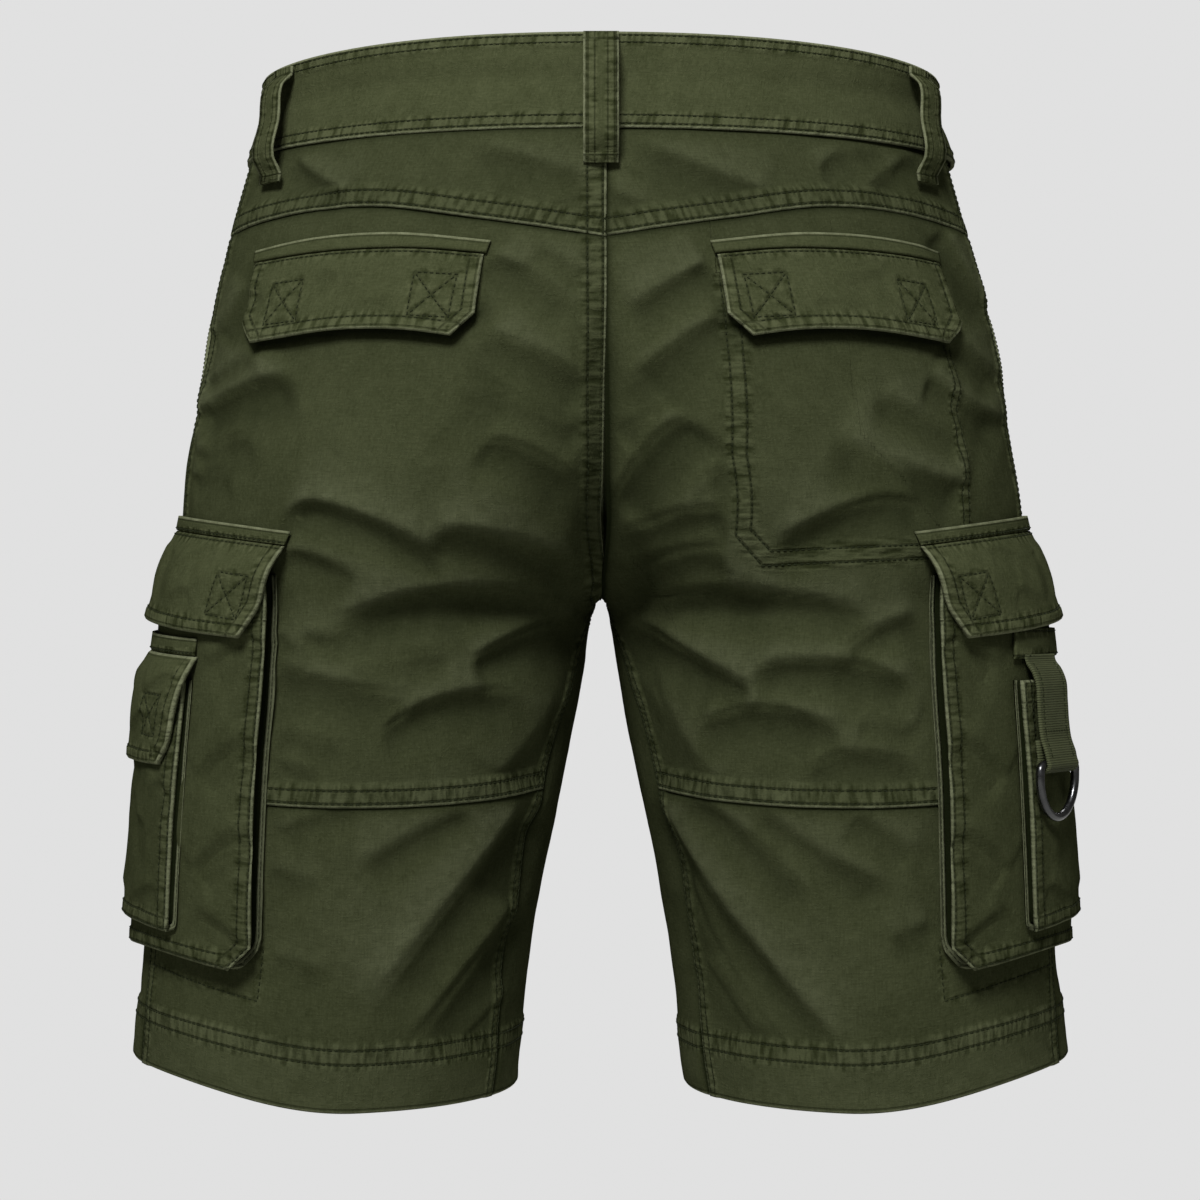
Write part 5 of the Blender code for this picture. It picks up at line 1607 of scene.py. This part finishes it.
@dataclass
class Pockets:
    """The pockets of one side: back pocket, cargo pocket and the small pocket on it."""

    finishes: Finishes
    side: Side
    flange: float = 4.5  # how wide a gusset's sewn edge is, with what is folded under
    tuck: float = 3.0  # how far in under its face a gusset's other edge is
    gusset = ((128.6, -243), (126.8, -330), (126.8, -424), (116.5, -435.6), (60, -432.4), (0, -435.4),
              (-38, -435.6))
    small_gusset = ((87, -296), (87, -350), (86, -420.6), (50, -419.2), (-8, -418.6))

    def __post_init__(self) -> None:
        """Starts the side's stitches."""
        self.rows = Stitching("stitches_pockets_" + self.side.word, self.finishes.thread)
        self.pieces: list[Cloth | Strip] = []

    def lay(self, name: str, styles: dict[str, Finish], finish: Material, step: float = 1.35,
            wall: float = 1.5) -> None:
        """Builds a patch that lies on the panels, with its creases and its boxes of stitches.

        Args:
            name: The piece's name, without the side.
            styles: The finish of each of its edges: top, foot, back and front.
            finish: Its material.
            step: Distance from point to point.
            wall: Its thickness.
        """
        girth, z, lift = patch(KNOTS[name], step)
        around = frame_of(KNOTS[name])
        edges = [Edge(around[key], style, key in ("back", "front")) for key, style in styles.items()]
        rows = [Track(row) for a, b, c, d in BOXES.get(name, ())
                for row in ((a, b, c, d, a), (a, c), (b, d))]
        creases = [Crease(*row) for row in POCKET_CREASES.get(name, ())]
        piece = Cloth(f"{name}_{self.side.word}", self.side.value, girth, z, lift, edges, finish,
                      wall, folded=fold_share(lift), crumple=0.7, rows=rows,
                      shape=relief(creases, girth, z, 1.0)).build()
        self.rows.hem(piece, mitred=True)
        self.pieces.append(piece)

    sewn = Finish(raised=0.9, zone=5.2, rows=(6.3,), roll=1.4, fall=1.8)
    edged = Finish(raised=0.7, zone=5.8, rows=(1.3, 6.5), roll=1.2, fall=1.8)
    joined = Finish(rows=(1.3,), roll=0.9, hidden=True)
    turned = Finish(roll=1.2, hidden=True)
    mouth = Finish(raised=0.8, zone=20.5, rows=(20.0,), roll=1.2, fall=1.2)
    small_mouth = Finish(raised=0.7, zone=12.2, rows=(11.6,), roll=1.2, fall=1.2)
    plain = Finish(roll=1.2)

    def build(self) -> None:
        """Builds the side's pockets and the pieces on them."""
        canvas, trim = self.finishes.canvas, self.finishes.trim
        flap = {"back": self.sewn, "foot": self.sewn, "front": self.sewn, "top": self.joined}
        face = {"back": self.edged, "foot": self.edged, "front": self.edged}
        band = {"top": self.plain, "foot": self.joined}
        self.lay("back_welt", {"top": self.plain, "foot": self.turned}, trim)
        self.lay("back_flap", flap, trim, wall=2.0)
        self.lay("cargo_band", band, trim)
        self.lay("cargo_flap", flap, trim, wall=2.0)
        self.lay("cargo_face", {**face, "top": self.mouth}, canvas, step=1.9)
        self.bellows("cargo_gusset", self.gusset, None, "cargo_face", 5.2)
        self.lay("small_face", {**face, "top": self.small_mouth}, canvas, step=1.6)
        self.bellows("small_gusset", self.small_gusset, "cargo_face", "small_face", 2.0)
        if self.side is Side.LEFT:
            self.lay("small_band", band, trim)
            self.lay("small_flap", {**flap, "top": self.plain}, trim, wall=2.0)
        else:
            self.lay("strap_band", {**band, "top": self.joined}, trim)
        stitches = self.rows.make()
        for piece in self.pieces:
            on = "cargo_face_" if piece.name.startswith(("small", "strap")) else "back_"
            piece.declare(on + self.side.word, sewn=[stitches] if "cargo_flap" in piece.name else [])

    def bellows(self, name: str, bends: Sequence[tuple[float, float]],
                under: str | None, over: str, depth: float) -> None:
        """Builds a gusset: a pleat on edge between what lies under a pocket and its face.

        Args:
            name: The piece's name, without the side.
            bends: Girth and height of the corners of its path.
            under: The pocket beneath it, or None for the panels.
            over: The face above it.
            depth: How far it folds in at its middle.
        """
        path = Track(bends)
        runs = np.linalg.norm(np.diff(path.points, axis=0), axis=1)
        at = np.concatenate([[0.0], np.cumsum(runs)])
        count = 4 * math.ceil(at[-1] / 2.2 / 4)
        places = np.linspace(0, at[-1], count + 1)
        soft = np.stack([np.interp(places, at, path.points[:, i]) for i in (0, 1)], -1)
        for _ in range(3):
            soft[1:-1] = (soft[:-2] + 2 * soft[1:-1] + soft[2:]) / 4
        ways = np.gradient(soft, axis=0)
        ways /= np.linalg.norm(ways, axis=1, keepdims=True)
        inwards = np.stack([ways[:, 1], -ways[:, 0]], -1)
        foot = 0.4 + (lift_in(KNOTS[under], *soft.T) if under else 0.0 * places)
        head = lift_in(KNOTS[over], *soft.T) - 1.2
        share = np.concatenate([np.zeros(4), np.linspace(0, 1, 13)])
        fold = depth * (1 - np.abs(2 * share - 1) ** 1.6)
        wavy = 1 + 0.25 * CRUMPLES[1].at(places / 19, places * 0 + self.side.value + 3)
        flange = np.concatenate([self.flange * (np.linspace(1, 0.2, 4) - 0.62), np.zeros(13)])
        flat = np.concatenate([np.ones(4), np.zeros(13)])
        moved = inwards[:, None] * (fold[None] * wavy[:, None] - flange + self.tuck * share)[..., None]
        place = soft[:, None] + moved
        lift = foot[:, None] * (1 - share) + head[:, None] * share + 1.5 * flat
        girth, z = place[..., 0], place[..., 1]
        angle = FIGURE.angle_at(z, girth)
        lift = lift + fold_share(lift) * folds(FIGURE.place(self.side.value, z, angle, lift))
        grid = FIGURE.place(self.side.value, z, angle, lift)
        # The pleat's columns get painted shade, and the flange's a painted highlight.
        strip = Strip(f"{name}_{self.side.word}", grid, 1.2, self.finishes.canvas,
                      flip=self.side is Side.LEFT, shade=0.95 - 1.95 * flat).build()
        self.rows.sew(strip, Track([(1.9, 3.0), (1.9, strip.v[-1] - 3.0)]), thick=0.28)
        self.pieces.append(strip)


@dataclass
class BeltLoop:
    """A belt loop: a strip that stands clear of the waistband between its sewn ends."""

    name: str
    side: int
    top_girth: float | None  # None at the centre back
    foot_girth: float | None
    top: float
    bottom: float
    width: float
    finishes: Finishes
    wall: float = 1.8
    lift: float = 9.2

    def build(self) -> None:
        """Builds the loop with its rows of stitches and bar tacks."""
        sewn = self.wall + 0.8
        path = np.array([  # height, and how far off the figure
            (self.top, sewn), (self.top - 4.0, sewn), (self.top - 10.0, self.lift - 0.8),
            (-8.0, self.lift), (self.bottom + 12.0, self.lift - 0.2), (self.bottom + 5.0, sewn + 0.4),
            (self.bottom, sewn)])
        z, lift = path[:, :1], path[:, 1:]
        across = np.linspace(-0.5, 0.5, 17) * self.width
        if self.top_girth is None:
            points = FIGURE.place(1, z + 0 * across, math.pi / 2, lift)
            points[..., 0] = -across
        else:
            run = (self.top - z) / (self.top - self.bottom)
            girth = self.top_girth + (self.foot_girth - self.top_girth) * run + across
            points = FIGURE.place(self.side, z, FIGURE.angle_at(z, girth), lift)
        strip = Strip(self.name, resampled(points, 1.2), self.wall, self.finishes.trim,
                      flip=self.side < 0, turned_in=1.3, rows=(2.4, 5.6), tacks=(4.5,)).build()
        rows = Stitching("stitches_" + self.name, self.finishes.thread)
        wide, long = strip.u[-1], strip.v[-1]
        for u in (2.4, 5.6, wide - 5.6, wide - 2.4):
            rows.sew(strip, Track([(u, 1.0), (u, long - 1.0)]), pitch=2.7, length=2.0)
        for v in (4.5, long - 4.5):
            rows.sew(strip, Track([(0.8, v), (wide - 0.8, v)]), pitch=0.62, length=2.4, turned=True)
        strip.declare("waistband", sewn=[rows.make()])


@dataclass
class RingStrap:
    """The webbing on the right cargo pocket, and the D-ring that swings in its loop."""

    finishes: Finishes
    side: int = -1
    girth: float = 68.0
    width: float = 31.5
    wall: float = 1.6
    wire: float = 4.5
    play: float = 0.45
    ring_width: float = 37.5
    ring_drop: float = 27.0
    corner: float = 3.4
    bar_z, bar_lift = -339.0, 22.4  # where the ring's straight side is, off the figure
    down = ((-283, 15.6), (-285.8, 15.9), (-290, 19), (-296, 21.6), (-307, 22.2), (-318, 22.4),
            (-326, 23.2), (-333, 25.4))  # heights and lifts of the webbing's front, and of its end
    back = ((-331.5, 18.5), (-326.5, 18.2))

    def frame(self) -> tuple[Array, Array, Array]:
        """Middle of the ring's straight side, and the ways along it and outwards."""
        angle = FIGURE.angle_at(self.bar_z, self.girth)
        middle = FIGURE.place(self.side, self.bar_z, angle, self.bar_lift)
        out = FIGURE.outwards(self.bar_z, angle) * (self.side, 1.0)
        return middle, np.array([out[1], -out[0], 0.0]), np.array([out[0], out[1], 0.0])

    def strap(self) -> None:
        """The webbing: down from its band, round the ring's straight side and up behind itself."""
        middle, along, out = self.frame()
        radius = self.wire / 2 + self.play + self.wall
        turn = np.radians(np.arange(30.0, -211.0, -15.0))
        path = [(z, lift - self.bar_lift) for z, lift in self.down]
        path += [(self.bar_z + radius * math.sin(a), radius * math.cos(a)) for a in turn]
        path += [(z, lift - self.bar_lift) for z, lift in self.back]
        across = np.linspace(-0.5, 0.5, 25) * self.width
        rows = []
        for z, off in path:
            place = FIGURE.place(self.side, z, FIGURE.angle_at(z, self.girth), self.bar_lift)
            leg = min(0.0, (place - middle) @ out) if z > self.bar_z else 0.0
            centre = middle + out * (off + leg) + (0, 0, z - self.bar_z)
            rows.append([centre + along * step for step in across])
        strip = Strip("strap_right", resampled(np.array(rows), 1.3), self.wall,
                      self.finishes.webbing, turned_in=0.7, rows=(4.6,)).build()
        rows = Stitching("stitches_strap", self.finishes.thread)
        for u in (4.6, strip.u[-1] - 4.6):
            rows.sew(strip, Track([(u, 3.0), (u, 56.0)]), pitch=2.9, length=2.2)
        rows.sew(strip, Track([(2.0, 41.0), (strip.u[-1] - 2.0, 41.0)]), pitch=2.9, length=2.2)
        strip.declare("strap_band_right", sewn=[rows.make()])

    def ring(self) -> None:
        """The ring: a bent round wire, its ends butted in the strap's loop."""
        middle, along, _ = self.frame()
        half, low = self.ring_width / 2, self.corner + 3.0
        corner, bow = np.radians(np.linspace(90, 0, 9)), np.radians(np.linspace(0, -180, 49))
        right = [(half - self.corner * (1 - math.cos(a)), -self.corner * (1 - math.sin(a)))
                 for a in corner]
        bottom = [(half * math.cos(a), -low + (self.ring_drop - low) * math.sin(a)) for a in bow]
        outline = np.array(right + bottom + [(-x, z) for x, z in right[::-1]])
        ways = np.roll(outline, -1, axis=0) - np.roll(outline, 1, axis=0)
        ways /= np.linalg.norm(ways, axis=1, keepdims=True)
        out = np.stack([-ways[:, 1], ways[:, 0]], -1)
        turn = np.linspace(0, 2 * math.pi, 21)[:-1]
        flat = outline[:, None] + out[:, None] * (np.cos(turn)[None, :, None] * self.wire / 2)
        deep = np.sin(turn)[None] * self.wire / 2 + 0 * flat[..., 0]
        through = np.array([-along[1], along[0], 0.0])
        points = middle + flat[..., :1] * along + deep[..., None] * through
        points[..., 2] += flat[..., 1]
        thing = add_mesh("d_ring", points.reshape(-1, 3), tube_faces(*deep.shape, True),
                         self.finishes.metal)
        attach(thing, "d_ring")
        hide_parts("d_ring_right")

    def build(self) -> None:
        """Builds the strap and the ring."""
        self.strap()
        self.ring()


@dataclass
class Closure:
    """The fly and the waist button, at the centre front."""

    finishes: Finishes
    width: float = 36.0
    bottom: float = -160.0

    def placket(self) -> None:
        """The fly's outer strip, with its two curved rows of stitches."""
        z = np.linspace(FIGURE.waist_bottom + 1.5, self.bottom, 77)[:, None]
        foot = np.clip((z - self.bottom) / self.width, 0, 1)
        reach = 2.0 + (self.width - 2.0) * np.sqrt(1 - (1 - foot) ** 2)
        centre, width, _ = FIGURE.ellipse(z, 0.0)
        x = -1.4 + (reach + 1.4) * graded(self.width, 2.0, 9.0, 0.9, 1.6)
        angle = -np.arccos((x - centre) / width)
        z = np.broadcast_to(z, angle.shape)
        spread = Spread(angle, z, FIGURE.arc(z, angle))
        edges = [Edge(spread.line(np.s_[::-4, -1]), Finish(rows=(1.8, 7.0), skip=0.5)),
                 Edge(spread.line(np.s_[::4, 0]), Finish(roll=1.2, rows=(2.0,)))]
        piece = Cloth("fly_placket", 1, spread.girth, z, np.full_like(z, 2.0), edges,
                      self.finishes.canvas, 1.6, angle=angle, crumple=0.6).build()
        rows = Stitching("stitches_fly", self.finishes.thread)
        rows.hem(piece)
        piece.declare("waistband", sewn=[rows.make()])

    def button(self) -> None:
        """The turned button: a dished face, a rounded rim, four holes' thread and a shank."""
        profile = np.array([(0.0, 3.0), (3.6, 3.05), (4.9, 3.3), (5.7, 3.95), (6.6, 4.25), (7.6, 4.2),
                            (8.25, 3.8), (8.5, 3.2), (8.45, 2.5), (8.0, 1.9), (7.0, 1.5), (3.0, 1.2),
                            (2.6, 0.6), (2.6, 0.0), (0.0, 0.0)])
        turn = np.linspace(0, 2 * math.pi, 49)[:-1]
        front = -(FIGURE.level("y_front", 0.0) + 2.6 + 0.3)
        rings = [np.stack([r * np.cos(turn), front - h + 0 * turn, r * np.sin(turn)], -1)
                 for r, h in profile[1:-1]]
        points = np.concatenate([[(0.0, front - 3.0, 0.0)], *rings, [(0.0, front, 0.0)]])
        count, last = len(turn), len(points) - 1
        faces = tube_faces(len(rings), count, False, 1)
        for corner in range(count):
            after = (corner + 1) % count
            faces += [(0, 1 + after, 1 + corner), (last - count + corner, last - count + after, last)]
        faces = [face[::-1] for face in faces]
        thing = add_mesh("button", points, faces, self.finishes.horn)
        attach(thing, "shorts")
        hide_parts("waist_button")
        rows = Stitching("stitches_button", self.finishes.thread)
        for way in (-1, 1):
            middle = Vector((1.4 * way, front - 3.15, 0.0))
            rows.one(middle, Vector((0, 0, 1)), Vector((0, -1, 0)), 4.2, 0.5)
        rows.make()

    def build(self) -> None:
        """Builds the fly and the button."""
        self.placket()
        self.button()


# ---------- the studio


@dataclass
class Studio:
    """A plain pale floor and backdrop, soft lights and the camera."""

    pale: float = 0.752
    floor: float = -0.66
    wide: float = 30.0
    distance: float = 1.38
    height: float = -0.2554
    seen: float = 0.648  # width of the view at the shorts' middle

    def shine(self, n: Nodes, output: str, lit: bpy.types.Node, seen: bpy.types.Node) -> None:
        """Shows one shader to the camera, and the other to everything else."""
        mixed = n.add("MixShader", {0: n.add("LightPath").outputs["Is Camera Ray"],
                                    1: lit.outputs[0], 2: seen.outputs[0]})
        n.put(n.tree.nodes[output].inputs[0], mixed.outputs[0])

    def stage(self) -> None:
        """A floor and a ground all round, plain and evenly pale."""
        grey = (self.pale, self.pale, self.pale, 1)
        n = Surface("pale_floor")
        n.tree.nodes.remove(n.tree.nodes["Principled BSDF"])
        self.shine(n, "Material Output", n.add("BsdfDiffuse", {"Color": (0.4, 0.4, 0.38, 1)}),
                   n.add("Emission", {"Color": grey}))
        mesh = bpy.data.meshes.new("floor")
        corners = [(x * self.wide, y * self.wide, self.floor) for x, y in
                   ((-1, -1), (1, -1), (1, 1), (-1, 1))]
        mesh.from_pydata(corners, [], [(0, 1, 2, 3)])
        mesh.materials.append(n.made)
        show("floor", mesh)
        world = bpy.data.worlds.new("pale_ground")
        world.use_nodes = True
        n = Nodes(world.node_tree)
        self.shine(n, "World Output",
                   n.add("Background", {"Color": (1.0, 0.99, 0.93, 1), "Strength": 0.105}),
                   n.add("Background", {"Color": grey, "Strength": 1.0}))
        bpy.context.scene.world = world

    def lamp(self, name: str, place: tuple[float, float, float], size: float, watts: float) -> None:
        """A square soft light aimed at the shorts."""
        data = bpy.data.lights.new(name, "AREA")
        data.shape, data.size, data.energy = "SQUARE", size, watts
        lamp = show(name, data)
        lamp.location = place
        way = Vector((0.0, 0.0, self.height)) - Vector(place)
        lamp.rotation_euler = way.to_track_quat("-Z", "Y").to_euler()

    def camera(self) -> None:
        """The camera, level and square to the back."""
        data = bpy.data.cameras.new("camera")
        data.sensor_width = 36.0
        data.lens = 36.0 * self.distance / self.seen
        camera = show("camera", data)
        camera.location = (0.54 * MM, self.distance, self.height)
        camera.rotation_euler = (math.pi / 2, 0.0, math.pi)
        bpy.context.scene.camera = camera

    def build(self) -> None:
        """Builds the stage, the lights and the camera."""
        self.camera()
        self.stage()
        self.lamp("key", (0.52, 2.60, 2.15), 1.0, 160.0)
        self.lamp("front", (-0.3, -1.9, 1.5), 1.2, 62.0)
        bpy.context.scene.view_settings.view_transform = "Standard"


# name, side, girth of the top and of the foot, heights of both, and width
LOOPS = (
    ("loop_back", 1, None, None, 25.6, -41.0, 17.6),
    ("loop_back_left", 1, 54.5, 69.5, 20.5, -41.0, 17.0),
    ("loop_back_right", -1, 54.5, 69.5, 20.5, -41.0, 17.0),
    ("loop_front_left", 1, -90.0, -94.0, 21.5, -40.0, 17.0),
    ("loop_front_right", -1, -90.0, -94.0, 21.5, -40.0, 17.0),
)


def main() -> None:
    """Builds the shorts and the studio."""
    logging.basicConfig(level=logging.INFO, format="%(message)s")
    finishes = Finishes()
    Waistband(finishes).build()
    for side in Side:
        Panels(finishes, side).build()
        Pockets(finishes, side).build()
    for loop in LOOPS:
        BeltLoop(*loop, finishes).build()
    Closure(finishes).build()
    RingStrap(finishes).build()
    Studio().build()


if __name__ == "__main__":
    main()
